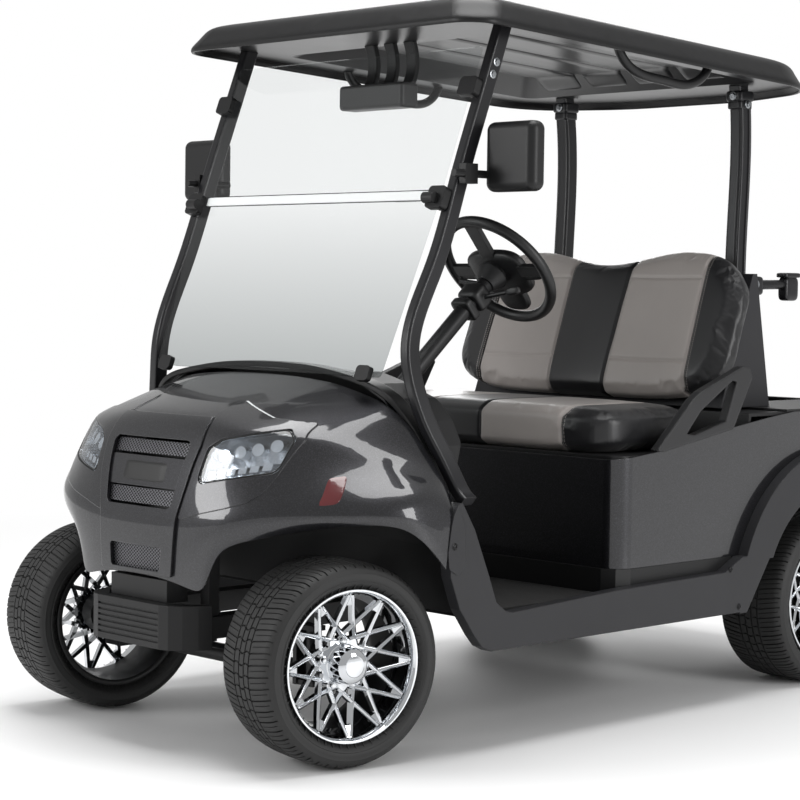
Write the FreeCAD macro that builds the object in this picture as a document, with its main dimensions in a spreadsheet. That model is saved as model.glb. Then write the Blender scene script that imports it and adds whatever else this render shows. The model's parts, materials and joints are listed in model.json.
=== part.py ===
"""Golf cart: a parametric FreeCAD document of its separate sub-parts, in millimetres, +Z up.

The cart faces -Y and its left side is +X. The origin is on the floor under the middle of the whole cart.
"""
import FreeCAD
import Part
import Sketcher
import math
import os
import re
from types import SimpleNamespace

from FreeCAD import Placement, Rotation, Vector

doc = FreeCAD.newDocument("golf_cart")
sheet = doc.addObject("Spreadsheet::Sheet", "Sizes")

SIZES = [
    ("front_axle_y", -920, "middle of the front axle"),
    ("wheelbase", 1664, "front axle to rear axle"),
    ("front_track", 876, "between the middles of the front tyres, wheels straight"),
    ("rear_track", 978, "between the middles of the rear tyres"),
    ("kingpin_inset", 70, "kingpin axis to the middle of the tyre"),
    ("steer_rest", -10, "steering angle of the front wheels as they stand"),
    ("tyre_radius", 227.5, "outside radius of the tyres"),
    ("tyre_width", 205, "over the side walls"),
    ("tyre_wall", 9, "rubber thickness"),
    ("bead_radius", 158, "where the tyre sits on the rim"),
    ("rim_half", 95, "half the width of the rim over its lips"),
    ("rim_lip", 169, "outside radius of the rim's lips"),
    ("rim_wall", 7, "thickness of the rim's barrel"),
    ("spoke_thick", 16, "thickness of the spoked face"),
    ("spoke_set", 11, "star's points behind the rim's outer lip"),
    ("spoke_count", 12, "points of the star"),
    ("hub_radius", 46, "wheel hub"),
    ("hub_face", 48, "hub plate in front of the wheel's middle"),
    ("plate_radius", 62, "hub plate"),
    ("cap_radius", 45, "centre cap"),
    ("cap_length", 52, "centre cap in front of the hub plate"),
    ("axle_radius", 12, "stub axles"),
    ("run_gap", 0.5, "running clearance of pins and shafts"),
    ("seat_gap", 0.3, "gap between pieces that sit on each other"),
    ("body_half", 603, "half the width over fenders and sills"),
    ("nose_reach", 215, "nose in front of the front axle"),
    ("hood_height", 843, "hood's rear edge above the floor"),
    ("skin", 5, "thickness of the moulded body panels"),
    ("bumper_reach", 240, "front bumper in front of the front axle"),
    ("bumper_half", 192, "half the width of the front bumper"),
    ("bumper_low", 233, "lower edge of the front bumper"),
    ("bumper_tall", 100, "height of the front bumper"),
    ("bumper_wall", 26, "thickness of the bumpers"),
    ("rail_half", 155, "middle of the frame rails from the middle plane"),
    ("rail_wide", 50, "width of a frame rail"),
    ("rail_tall", 50, "height of a frame rail"),
    ("rail_low", 254, "lower face of the front rails"),
    ("rail_wall", 4, "wall of the frame rails"),
    ("rail_kick", 66, "rise of the rails over the rear axle"),
    ("floor_top", 311, "upper face of the floor"),
    ("floor_front_y", -625, "foot of the toe board"),
    ("pod_front_y", -120, "front of the seat pod"),
    ("pod_half", 572, "half the width of the rear body"),
    ("pod_low", 374, "lower edge of the rear body"),
    ("pod_top", 640, "rear body's upper edge at its front"),
    ("pod_corner", 50, "radius of the seat pod's upright corners"),
    ("deck_top", 744, "rear deck"),
    ("tail_y", "=front_axle_y + wheelbase + 376", "rear face of the body"),
    ("rear_bumper_y", "=tail_y + 47", "rear face of the rear bumper"),
    ("arch_radius", 306, "rear wheel arch"),
    ("flare_width", 106, "rear arch flare, measured outward"),
    ("sill_low", 232, "lower edge of the sills"),
    ("seat_half", 520, "half the width of the seat cushion"),
    ("seat_front_y", -128, "front of the cushion"),
    ("seat_rear_y", 285, "rear of the cushion, its hinge line"),
    ("seat_low", 649, "underside of the cushion"),
    ("seat_thick", 108, "thickness of the cushion"),
    ("hinge_radius", 5, "pins that the cushion lifts about"),
    ("back_half", 500, "half the width of the backrest"),
    ("back_front_y", 346, "backrest's front face at its lower edge"),
    ("back_low", 764, "backrest's lower edge"),
    ("back_tall", 448, "backrest along its slope"),
    ("back_thick", 88, "backrest's thickness"),
    ("back_lean", 20, "backrest's lean to the rear, degrees"),
    ("strut_half", 456, "middle of the front struts"),
    ("strut_wide", 28, "front strut across"),
    ("strut_deep", 40, "front strut fore and aft"),
    ("screen_low_y", -768, "windscreen plane at the screen's lower height"),
    ("screen_low", 848, "lower edge of the windscreen"),
    ("screen_seam", 1250, "between the two panes"),
    ("screen_top", 1612, "upper edge of the windscreen"),
    ("screen_lean", 20.7, "windscreen's lean to the rear, degrees"),
    ("screen_half", 436, "half the width of the windscreen"),
    ("screen_thick", 5, "acrylic sheet"),
    ("rear_strut_half", 312, "middle of the rear struts"),
    ("rear_strut_y", 672, "middle of the rear struts"),
    ("rear_strut_wide", 40, "rear strut across"),
    ("rear_strut_deep", 44, "rear strut from front to rear"),
    ("handle_radius", 12, "roof handle's tube"),
    ("roof_half", 538, "half the width of the roof"),
    ("roof_front_y", -605, "front edge of the roof"),
    ("roof_rear_y", 826, "rear edge of the roof in its middle"),
    ("roof_rear_bow", 100, "rear corners of the roof in front of its rear edge"),
    ("roof_front_z", 1652, "roof's lower edge at its front"),
    ("roof_tilt", 2.7, "roof's fall to the rear, degrees"),
    ("roof_tall", 99, "roof from its lower edge to its crown"),
    ("roof_skin", 7, "roof's double wall"),
    ("wheel_x", 250, "middle of the steering wheel"),
    ("wheel_y", -218, "middle of the steering wheel"),
    ("wheel_z", 1098, "middle of the steering wheel"),
    ("wheel_radius", 153, "steering wheel to the middle of its rim"),
    ("wheel_grip", 14, "radius of the steering wheel's rim"),
    ("column_angle", 41, "steering column above the horizontal, degrees"),
    ("column_radius", 21, "steering column"),
    ("column_length", 560, "steering column"),
    ("arm_length", 98, "steering arm behind the kingpin"),
    ("arm_low", 176, "underside of the steering arms"),
    ("rack_radius", 8, "steering rack's bar"),
    ("beam_radius", 21, "front axle beam"),
    ("beam_z", 192, "front axle beam above the floor"),
    ("rear_tube", 36, "radius of the rear axle tube"),
    ("hitch_wide", 120, "hitch plate's bolts across"),
    ("hitch_tall", 50, "hitch plate's bolts up and down"),
    ("hitch_hole", 5.5, "radius of the hitch plate's bolt holes"),
    ("mask_thick", 7, "grille mask in front of the cowl"),
    ("bowl_depth", 48, "depth of the lamp bowls"),
    ("projector_radius", 14, "lamp projectors"),
    ("brow_side", 34, "brow's width at its ends"),
    ("brow_middle", 50, "brow's width in the middle"),
    ("brow_thick", 14, "thickness of the brow"),
    ("liner_height", 18, "roof liner above the roof's lower edge"),
    ("vault_rise", 50, "liner's vault above its border"),
    ("mirror_y", -490, "middle of the mirrors"),
    ("mirror_z", 1352, "middle of the mirrors"),
    ("console_y", 208, "overhead console behind the roof's front edge"),
]

for row, (alias, value, note) in enumerate(SIZES, start=1):
    sheet.set("A%d" % row, note)
    sheet.set("B%d" % row, str(value))
    sheet.setAlias("B%d" % row, alias)
doc.recompute()
names = {alias for alias, value, note in SIZES}
v = SimpleNamespace(**{alias: float(sheet.get(alias)) for alias in names})
rear_axle_y = v.front_axle_y + v.wheelbase
kingpin_x = v.front_track / 2 - v.kingpin_inset
nodes = []


def bound(text):
    """The text with each size's alias written as a reference to the sheet."""
    return re.sub(r"[a-z_]+", lambda word: "Sizes." + word.group() if word.group() in names else word.group(), text)


def node(item, label):
    """Name an object as one of the cart's sub-parts."""
    item.Label = label
    nodes.append(item)
    return item


def place(item, x, y, z, axis=None, angle="0"):
    """Bind an object's place, and its turn about an axis, to the sheet."""
    if axis is not None:
        item.Placement = Placement(Vector(), Rotation(axis, 1))
        item.setExpression("Placement.Rotation.Angle", "(" + bound(angle) + ") * 1 deg")
    item.setExpression("Placement.Base.x", bound(x))
    item.setExpression("Placement.Base.y", bound(y))
    item.setExpression("Placement.Base.z", bound(z))
    return item


def box(name, x, y, z, length, width, height):
    """A block from its corner (x, y, z) and its sizes along X, Y and Z."""
    item = doc.addObject("Part::Box", name)
    item.setExpression("Length", bound(length))
    item.setExpression("Width", bound(width))
    item.setExpression("Height", bound(height))
    return place(item, x, y, z)


ALONG = {"x": (Vector(0, 1, 0), "90"), "y": (Vector(1, 0, 0), "270"), "z": (Vector(0, 0, 1), "0")}


def rod(name, along, x, y, z, radius, length):
    """A round bar from (x, y, z) along one axis."""
    item = doc.addObject("Part::Cylinder", name)
    item.setExpression("Radius", bound(radius))
    item.setExpression("Height", bound(length))
    return place(item, x, y, z, *ALONG[along])


def fuse(name, *items):
    """The items joined to one solid."""
    item = doc.addObject("Part::MultiFuse", name)
    item.Shapes = list(items)
    return item


def cut(name, base, tool):
    """The base without the tool."""
    item = doc.addObject("Part::Cut", name)
    item.Base = base
    item.Tool = tool
    return item


def group(name, *items):
    """Solids that don't touch, kept in one node."""
    item = doc.addObject("Part::Compound", name)
    item.Links = list(items)
    return item


def mirrored(item):
    """The item's mirror image in the cart's middle plane."""
    other = doc.addObject("Part::Mirroring", item.Name + "_mirrored")
    other.Source = item
    other.Normal = Vector(1, 0, 0)
    return other


def both_sides(name, item):
    """The item and its mirror image."""
    return group(name, item, mirrored(item))


def ready(name, shape):
    """An object for a shape made with Part's own functions."""
    item = doc.addObject("Part::Feature", name)
    item.Shape = shape
    return item


def plane_of(body, role):
    """One of the body's own origin planes or axes."""
    return [feature for feature in body.Origin.OriginFeatures if feature.Role == role][0]


def draw(body, name, role, outline, offset="0"):
    """A sketch of one closed outline whose corners are bound to the sheet."""
    sketch = body.newObject("Sketcher::SketchObject", name)
    sketch.AttachmentSupport = [(plane_of(body, role), "")]
    sketch.MapMode = "FlatFace"
    sketch.setExpression("AttachmentOffset.Base.z", bound(offset))
    count = len(outline)
    spots = [Vector(math.cos(2 * math.pi * i / count), math.sin(2 * math.pi * i / count), 0) * 100
             for i in range(count)]
    for i in range(count):
        sketch.addGeometry(Part.LineSegment(spots[i], spots[(i + 1) % count]), False)
    for i in range(count):
        sketch.addConstraint(Sketcher.Constraint("Coincident", i, 2, (i + 1) % count, 1))
    for i, (across, up) in enumerate(outline):
        number = sketch.addConstraint(Sketcher.Constraint("DistanceX", -1, 1, i, 1, spots[i].x))
        sketch.setExpression("Constraints[%d]" % number, bound(across))
        number = sketch.addConstraint(Sketcher.Constraint("DistanceY", -1, 1, i, 1, spots[i].y))
        sketch.setExpression("Constraints[%d]" % number, bound(up))
    return sketch


def pad(body, name, sketch, length, symmetric=False):
    """Pad a sketch along its normal."""
    feature = body.newObject("PartDesign::Pad", name)
    feature.Profile = sketch
    feature.setExpression("Length", bound(length))
    feature.Midplane = symmetric
    body.Tip = feature
    return feature


def side_plate(name, outline, start, thick):
    """A plate drawn in side view, (y, z) corners, from x = start outward by its thickness."""
    body = doc.addObject("PartDesign::Body", name)
    sketch = draw(body, name + "_outline", "YZ_Plane", outline, start)
    pad(body, name + "_pad", sketch, thick)
    return body


def side_bar(name, outline, half):
    """A bar drawn in side view, (y, z) corners, as wide as two halves across the middle plane."""
    body = doc.addObject("PartDesign::Body", name)
    sketch = draw(body, name + "_outline", "YZ_Plane", outline)
    pad(body, name + "_pad", sketch, "2 * (" + half + ")", True)
    return body


def plan_plate(name, outline, low, tall):
    """A plate drawn in plan, (x, y) corners, from z = low upward."""
    body = doc.addObject("PartDesign::Body", name)
    sketch = draw(body, name + "_outline", "XY_Plane", outline, low)
    pad(body, name + "_pad", sketch, tall)
    return body


def both_halves(outline):
    """An outline's corners from the middle plane outward, with their mirror images."""
    return outline + [("-(" + across + ")", along) for across, along in reversed(outline) if across != "0"]


def rounded(body, name, edges, radius):
    """Round some edges of a body's tip."""
    base = body.Tip
    feature = body.newObject("PartDesign::Fillet", name)
    feature.Base = (base, edges)
    feature.setExpression("Radius", bound(radius))
    body.Tip = feature
    doc.recompute()
    return body


def edges_where(body, test):
    """Names of the tip's edges whose middle point and direction pass a test."""
    doc.recompute()
    found = []
    for number, edge in enumerate(body.Tip.Shape.Edges, start=1):
        start, end = edge.firstVertex().Point, edge.lastVertex().Point
        if test((start + end) * 0.5, end - start):
            found.append("Edge%d" % number)
    return found


# Surfaces and bars with Part's own functions

def smooth_surface(rows, degree=3):
    """A clamped B-spline surface on a net of control points."""
    surface = Part.BSplineSurface()
    counts = (len(rows), len(rows[0]))
    knots = [list(range(count - degree + 1)) for count in counts]
    repeats = [[degree + 1] + [1] * (count - degree - 1) + [degree + 1] for count in counts]
    surface.buildFromPolesMultsKnots(rows, repeats[0], repeats[1], knots[0], knots[1],
                                     False, False, degree, degree)
    return surface


def shifted(rows, depth):
    """A net of points moved along its own normals."""
    moved = []
    last_row, last_column = len(rows) - 1, len(rows[0]) - 1
    for i, row in enumerate(rows):
        line = []
        for j, point in enumerate(row):
            along = row[min(j + 1, last_column)] - row[max(j - 1, 0)]
            across = rows[min(i + 1, last_row)][j] - rows[max(i - 1, 0)][j]
            line.append(point + along.cross(across).normalize() * depth)
        moved.append(line)
    return moved


def net_solid(rows, start, depth):
    """A panel between two surfaces shifted from a net by start and by start + depth."""
    near = smooth_surface(shifted(rows, start))
    far = smooth_surface(shifted(rows, start + depth))
    faces = [near.toShape(), far.toShape()]
    for number in range(4):
        curves = []
        for surface in (near, far):
            u_low, u_high, v_low, v_high = surface.bounds()
            if number < 2:
                curves.append(surface.uIso((u_low, u_high)[number]).toShape())
            else:
                curves.append(surface.vIso((v_low, v_high)[number - 2]).toShape())
        faces.append(Part.makeRuledSurface(curves[0], curves[1]))
    shell = Part.makeShell(faces)
    shell.sewShape()
    solid = Part.makeSolid(shell)
    if solid.Volume < 0:
        solid.reverse()
    return solid


def front_prism(outline, corner, y_low, y_high):
    """A prism along Y through an outline of (x, z) corners with rounded corners."""
    points = [Vector(x, y_low, z) for x, z in outline]
    return round_wire_face(points, corner).extrude(Vector(0, y_high - y_low, 0))


def round_wire_face(points, corner):
    """A flat face inside a polygon whose corners are rounded by one radius, or by one each."""
    count = len(points)
    radii = corner if isinstance(corner, list) else [corner] * count
    edges = []
    starts, ends = [], []
    for i in range(count):
        here, before, after = points[i], points[i - 1], points[(i + 1) % count]
        to_before = (before - here).normalize()
        to_after = (after - here).normalize()
        half = to_before.getAngle(to_after) / 2
        reach = radii[i] / math.tan(half)
        middle = here + (to_before + to_after).normalize() * (radii[i] / math.sin(half) - radii[i])
        starts.append(here + to_before * reach)
        ends.append(here + to_after * reach)
        edges.append(Part.Arc(starts[-1], middle, ends[-1]).toShape())
    for i in range(count):
        edges.append(Part.LineSegment(ends[i], starts[(i + 1) % count]).toShape())
    return Part.Face(Part.Wire(Part.__sortEdges__(edges)))


def curve_through(points, count):
    """Evenly spread points on a smooth curve through some points."""
    curve = Part.BSplineCurve()
    curve.interpolate(points)
    return curve.discretize(count)


def swept_bar(points, side, wide, deep, count=14):
    """A bar of rounded rectangular section along a smooth curve; its width points to the side."""
    spots = curve_through(points, count)
    wires = []
    for i, spot in enumerate(spots):
        along = (spots[min(i + 1, count - 1)] - spots[max(i - 1, 0)]).normalize()
        normal = along.cross(side).normalize()
        across = normal.cross(along).normalize()
        corners = [spot + across * (a * wide / 2) + normal * (b * deep / 2)
                   for a, b in ((1, 1), (-1, 1), (-1, -1), (1, -1))]
        wires.append(round_wire_face(corners, min(wide, deep) * 0.22).OuterWire)
    return Part.makeLoft(wires, True, False)


def swept_tube(points, radius, count=16):
    """A round bar along a smooth curve."""
    spots = curve_through(points, count)
    wires = []
    for i, spot in enumerate(spots):
        along = (spots[min(i + 1, count - 1)] - spots[max(i - 1, 0)]).normalize()
        wires.append(Part.Wire(Part.Circle(spot, along, radius).toShape()))
    return Part.makeLoft(wires, True, False)


def mirror_shape(shape):
    """The shape's mirror image in the middle plane."""
    return shape.mirror(Vector(0, 0, 0), Vector(1, 0, 0))


def both(shape):
    """The shape and its mirror image as solids that don't touch."""
    return Part.makeCompound([shape, mirror_shape(shape)])


# Control net of the cowl's left half: x, y from the front axle, z; each line runs from the lower edge up
COWL_X, COWL_NOSE, COWL_Z = 603, 215, 843
COWL_NET = [
    [(0, -215, 392), (0, -216, 470), (0, -213, 524), (0, -208, 556), (0, -192, 640), (0, -150, 738), (0, -112, 768),
     (0, 10, 806), (0, 140, 843)],
    [(100, -214, 390), (104, -214, 470), (108, -211, 524), (108, -206, 556), (114, -190, 640), (122, -148, 736),
     (128, -110, 766), (132, 12, 804), (138, 141, 841)],
    [(182, -208, 374), (182, -211, 470), (186, -210, 528), (188, -201, 556), (192, -190, 628), (206, -150, 722),
     (218, -108, 752), (236, 18, 792), (258, 146, 830)],
    [(226, -199, 364), (230, -204, 462), (238, -206, 530), (240, -195, 558), (238, -182, 625), (250, -140, 719),
     (262, -99, 748), (280, 28, 786), (302, 152, 820)],
    [(254, -192, 470), (272, -198, 486), (290, -198, 534), (292, -187, 562), (285, -170, 622), (296, -128, 716),
     (306, -88, 744), (326, 40, 780), (348, 158, 808)],
    [(330, -164, 492), (344, -172, 512), (360, -172, 543), (362, -160, 572), (358, -130, 636), (366, -84, 718),
     (374, -52, 734), (392, 64, 756), (414, 170, 788)],
    [(420, -100, 515), (442, -107, 536), (448, -104, 562), (446, -88, 592), (424, -64, 640), (420, -18, 694),
     (426, 10, 706), (442, 104, 718), (464, 192, 744)],
    [(508, -34, 532), (528, -36, 547), (528, -30, 566), (520, -14, 596), (496, 14, 632), (484, 56, 662),
     (484, 84, 672), (490, 152, 684), (498, 214, 692)],
    [(574, 30, 538), (592, 34, 550), (589, 42, 572), (578, 58, 594), (562, 84, 612), (546, 120, 628),
     (541, 144, 632), (536, 186, 638), (530, 222, 642)],
    [(600, 104, 514), (604, 112, 534), (603, 122, 558), (600, 134, 576), (595, 152, 590), (586, 172, 600),
     (581, 182, 603), (573, 202, 606), (563, 220, 606)],
    [(603, 178, 430), (603, 181, 456), (603, 185, 484), (602, 190, 512), (602, 193, 528), (599, 199, 548),
     (595, 204, 558), (589, 210, 568), (581, 214, 573)],
]


def on_cowl(x, y, z):
    """A point given at the cowl's drawn size, moved to its real size."""
    return Vector(x * v.body_half / COWL_X, v.front_axle_y + y * v.nose_reach / COWL_NOSE, z * v.hood_height / COWL_Z)


def cowl_net():
    """The whole control net, from the right side across to the left."""
    left = [[on_cowl(*point) for point in column] for column in COWL_NET]
    right = [[Vector(-point.x, point.y, point.z) for point in column] for column in left[:0:-1]]
    return right + left


def outline_xz(*corners):
    """Corners of a front-view outline at the cowl's real size."""
    return [(x * v.body_half / COWL_X, z * v.hood_height / COWL_Z) for x, z in corners]


def mirrored_outline(half):
    """A front-view outline from its left half, listed from the top down."""
    return half + [(-x, z) for x, z in reversed(half)]


net = cowl_net()
front_y = v.front_axle_y - v.nose_reach * 1.3
nose_back_y = v.front_axle_y
MASK_EDGE = ((160, 754), (171, 690), (160, 612), (139, 524), (128, 394))
MASK = mirrored_outline(outline_xz(*MASK_EDGE))
UPPER_OPENING = ((143, 700), (118, 546))
LOWER_OPENING = ((95, 458), (90, 403))
LAMP = outline_xz((186, 606), (192, 688), (222, 709), (352, 736), (377, 714), (371, 641))
LAMP_FACE = outline_xz((140, 524), (211, 544), (282, 561), (330, 576), (358, 598), (372, 636), (388, 712),
                       (372, 748), (290, 756), (150, 790))
LAMP_FACE_RISE = 2.5


def opening(corners, corner_radius, grow=0):
    """A prism through one of the mask's openings."""
    (top_half, top), (low_half, low) = corners
    outline = mirrored_outline(outline_xz((top_half + grow, top + grow), (low_half + grow, low - grow)))
    return front_prism(outline, corner_radius, front_y, nose_back_y)


def build_cowl():
    """Painted cowl: hood, fenders and the raised faces round the lamps, with holes behind the mask and the lamps."""
    room_for_mask = front_prism(mirrored_outline([(x + 1, z) for x, z in outline_xz(*MASK_EDGE)]), 8, front_y, nose_back_y)
    raised = net_solid(net, -LAMP_FACE_RISE, v.skin).common(front_prism(LAMP_FACE, 10, front_y, nose_back_y))
    raised = raised.cut(room_for_mask)
    panel = net_solid(net, 0, v.skin).fuse([raised, mirror_shape(raised)])
    lamp_hole = front_prism(LAMP, 14, front_y, nose_back_y)
    for hole in (opening(UPPER_OPENING, 16, 3), opening(LOWER_OPENING, 8, 3), lamp_hole, mirror_shape(lamp_hole)):
        panel = panel.cut(hole)
    return panel


def build_mask():
    """Painted centre mask in front of the cowl, with an upper and a lower opening."""
    panel = net_solid(net, -v.seat_gap, -v.mask_thick).common(front_prism(MASK, 8, front_y, nose_back_y))
    return panel.cut(opening(UPPER_OPENING, 16)).cut(opening(LOWER_OPENING, 8))


def build_mesh():
    """Three mesh strips seated on the back of the cowl."""
    strips = [((152, 693), (146, 663)), ((134, 585), (127, 550)), ((101, 466), (96, 398))]
    window = net_solid(net, v.skin + v.seat_gap, 4)
    return [window.common(opening(strip, 3)) for strip in strips]


def build_badge_bar():
    """Painted bar across the upper opening, its middle left bare."""
    return net_solid(net, -2, 11).common(opening(((135.6, 658), (125, 590)), 3))


node(ready("cowl", build_cowl()), "front_cowl")
node(ready("mask", build_mask()), "grille_mask")
node(ready("mesh", Part.makeCompound(build_mesh())), "grille_mesh")
node(ready("badge", build_badge_bar()), "badge_bar")

# Lamps: a clear lens in the cowl's hole, and behind it a dark bowl with four projectors and a row of cells

LAMP_MIDDLE = (284, 670)
LAMP_FACING = Vector(0.42, -0.89, 0.12)
CELLS = 6


def lamp_prism(scale, corner):
    """A prism along Y through the lamp's outline, grown or shrunk about its middle."""
    middle_x, middle_z = outline_xz(LAMP_MIDDLE)[0]
    grown = [(middle_x + (x - middle_x) * scale, middle_z + (z - middle_z) * scale) for x, z in LAMP]
    return front_prism(grown, corner, front_y, nose_back_y)


def build_lens():
    """Clear lens, flush with the cowl."""
    return net_solid(net, 0, v.skin).common(lamp_prism(0.98, 14))


def build_bowl():
    """Dark bowl seated behind the cowl, open at its front."""
    outer = net_solid(net, v.skin + v.seat_gap, v.bowl_depth).common(lamp_prism(1.06, 14))
    inner = net_solid(net, v.skin - 1, v.bowl_depth - 3).common(lamp_prism(0.92, 12))
    return outer.cut(inner)


def build_lights():
    """Four round projectors and a strip of cells, standing on the bowl's floor."""
    depth = v.bowl_depth + v.skin - 4
    band = net_solid(net, 14, depth - 14 - v.seat_gap)
    room = lamp_prism(0.9, 12)
    solids = []
    for x, y, z in ((236, -162, 674), (272, -146, 682), (310, -128, 690), (343, -100, 699)):
        front = on_cowl(x, y, z) - LAMP_FACING * -20
        solids.append(Part.makeCylinder(v.projector_radius, 140, front, LAMP_FACING * -1).common(band).common(room))
    row = net_solid(net, 12, depth - 12 - v.seat_gap)
    for number in range(CELLS):
        x, z = outline_xz((212 + 25 * number, 627 + 4.6 * number))[0]
        corners = [(x - 9, z - 7), (x + 9, z - 5), (x + 9, z + 9), (x - 9, z + 7)]
        solids.append(front_prism(corners, 2, front_y, nose_back_y).common(row).common(room))
    return solids


node(ready("lenses", both(build_lens())), "headlamp_lenses")
node(ready("bowls", both(build_bowl())), "headlamp_bowls")
node(ready("lights", Part.makeCompound([side for light in build_lights()
                                        for side in (light, mirror_shape(light))])), "headlamp_lights")

# Front bumper: a U in plan, with grooves across its face, and the black valance above it
bumper = plan_plate("bumper", both_halves([
    ("0", "front_axle_y - bumper_reach"), ("114", "front_axle_y - bumper_reach"),
    ("bumper_half - 52", "front_axle_y - bumper_reach + 7"), ("bumper_half - 28", "front_axle_y - bumper_reach + 28"),
    ("bumper_half - 10", "front_axle_y - bumper_reach + 60"),
    ("bumper_half + 4", "front_axle_y - 151"), ("bumper_half + 4 - bumper_wall", "front_axle_y - 151"),
    ("bumper_half - 12 - bumper_wall", "front_axle_y - bumper_reach + 66"),
    ("114", "front_axle_y - bumper_reach + bumper_wall + 6"),
    ("0", "front_axle_y - bumper_reach + bumper_wall + 6")]), "bumper_low", "bumper_tall")
groove = box("bumper_groove", "-112", "front_axle_y - bumper_reach - 2", "bumper_low + 14", "224", "6", "5")
grooves = [groove]
for number in range(1, 6):
    grooves.append(box("bumper_groove_%d" % number, "-112", "front_axle_y - bumper_reach - 2",
                       "bumper_low + 14 + %d" % (number * 13), "224", "6", "5"))
node(cut("front_bumper_cut", bumper, group("bumper_grooves", *grooves)), "front_bumper")
node(plan_plate("valance", both_halves([
    ("0", "front_axle_y - nose_reach + 6"), ("104", "front_axle_y - nose_reach + 6"),
    ("112", "front_axle_y - nose_reach + 60"), ("0", "front_axle_y - nose_reach + 60")]),
    "bumper_low + bumper_tall + seat_gap", "383 - bumper_low - bumper_tall"), "front_valance")


# Frame: box rails that rise over the rear axle, cross members, bumper brackets and posts for the rear struts

def box_tubes(name, spans):
    """Square tubes given by corner and size, joined and hollowed by the wall of the rails."""
    outer = [box("%s_%d" % (name, i), *span) for i, span in enumerate(spans)]
    inner = [box("%s_hollow_%d" % (name, i), *([edge + " + rail_wall" for edge in span[:3]]
                                               + [size + " - 2 * rail_wall" for size in span[3:]]))
             for i, span in enumerate(spans)]
    return cut(name + "_cut", fuse(name + "_outer", *outer), fuse(name + "_inner", *inner))


side_spans = [
    ("rail_half - rail_wide / 2", "front_axle_y - 150", "rail_low", "rail_wide", "1440", "rail_tall"),
    ("rail_half - rail_wide / 2", "470", "rail_low", "rail_wide", "50", "rail_tall + rail_kick"),
    ("rail_half - rail_wide / 2", "470", "rail_low + rail_kick", "rail_wide", "rear_bumper_y - 36 - seat_gap - 470",
     "rail_tall"),
    ("rear_strut_half - 20", "rear_strut_y - 20", "rail_low + rail_kick", "40",
     "40", "deck_top - 6 - seat_gap - rail_low - rail_kick"),
]
cross_spans = [
    ("-180", "front_axle_y - 150", "rail_low", "360", "50", "rail_tall"),
    ("-180", "-520", "rail_low", "360", "50", "rail_tall"),
    ("-180", "60", "rail_low", "360", "50", "rail_tall"),
    ("-rear_strut_half - 20", "rear_strut_y - 20", "rail_low + rail_kick", "2 * rear_strut_half + 40", "40",
     "rail_tall"),
    ("-180", "tail_y - 100", "rail_low + rail_kick", "360", "50", "rail_tall"),
]
brackets = [box("bumper_bracket", "50", "front_axle_y - bumper_reach + bumper_wall + 6 + seat_gap", "rail_low + 6",
                "36", "bumper_reach - bumper_wall - 150", "34")]
for number, along_y in enumerate(("front_axle_y + wheelbase - 214", "front_axle_y + wheelbase + 196")):
    brackets.append(box("spring_hanger_%d" % number, "rail_half - 22", along_y, "rail_low + rail_kick - 14",
                        "44", "20", "16"))
for number, along_y in enumerate(("front_axle_y - 142", "front_axle_y + 122")):
    brackets.append(box("front_hanger_%d" % number, "rail_half - 22", along_y, "rail_low - 6", "44", "20", "8"))
side_frame = fuse("side_frame", box_tubes("side_rail", side_spans), *brackets)
node(fuse("frame", side_frame, mirrored(side_frame), box_tubes("cross", cross_spans)), "chassis_frame")


def build_supports():
    """Two posts on the front cross member whose arms reach the back of the cowl."""
    top = v.rail_low + v.rail_tall + v.seat_gap
    post = Part.makeBox(30, 30, 330, Vector(139, v.front_axle_y - 140, top))
    arm = Part.makeBox(30, 120, 30, Vector(139, v.front_axle_y - 230, top + 290))
    skin = net_solid(net, -60, 60 + v.skin + v.seat_gap)
    return post.fuse(arm).cut(skin).removeSplitter()


node(ready("supports", both(build_supports())), "cowl_supports")

# Floor, toe board, mat and the skirt round the foot of the seat pod
node(plan_plate("floor", both_halves([
    ("0", "floor_front_y"), ("pod_half", "floor_front_y"), ("pod_half", "pod_front_y + 20"),
    ("0", "pod_front_y + 20")]), "rail_low + rail_tall + seat_gap", "floor_top - rail_low - rail_tall - seat_gap"),
    "floor_pan")
cowl_room = ready("cowl_room", net_solid(net, -30, 30 + v.skin + v.seat_gap))
node(cut("toe_fitted", side_bar("toe", [
    ("floor_front_y - 1", "floor_top + seat_gap"), ("floor_front_y + 5", "floor_top + seat_gap"),
    ("floor_front_y - 50", "470"), ("floor_front_y - 85", "640"), ("floor_front_y - 91", "640"),
    ("floor_front_y - 56", "470")], "pod_half - 4"), cowl_room), "toe_board")
node(box("mat", "-pod_half + 24", "floor_front_y + 14", "floor_top + seat_gap", "2 * (pod_half - 24)",
         "pod_front_y - floor_front_y - 26", "4"), "floor_mat")
node(plan_plate("skirt", both_halves([
    ("0", "pod_front_y - 4"), ("pod_half - pod_corner", "pod_front_y - 4"),
    ("pod_half - 15", "pod_front_y + 11"), ("pod_half", "pod_front_y + pod_corner"), ("pod_half", "330"),
    ("pod_half - 8", "330"), ("pod_half - 8", "pod_front_y + pod_corner"), ("pod_half - 22", "pod_front_y + 18"),
    ("pod_half - pod_corner", "pod_front_y + 4"), ("0", "pod_front_y + 4")]),
    "floor_top + seat_gap", "pod_low - floor_top - 2 * seat_gap"), "pod_skirt")

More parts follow.
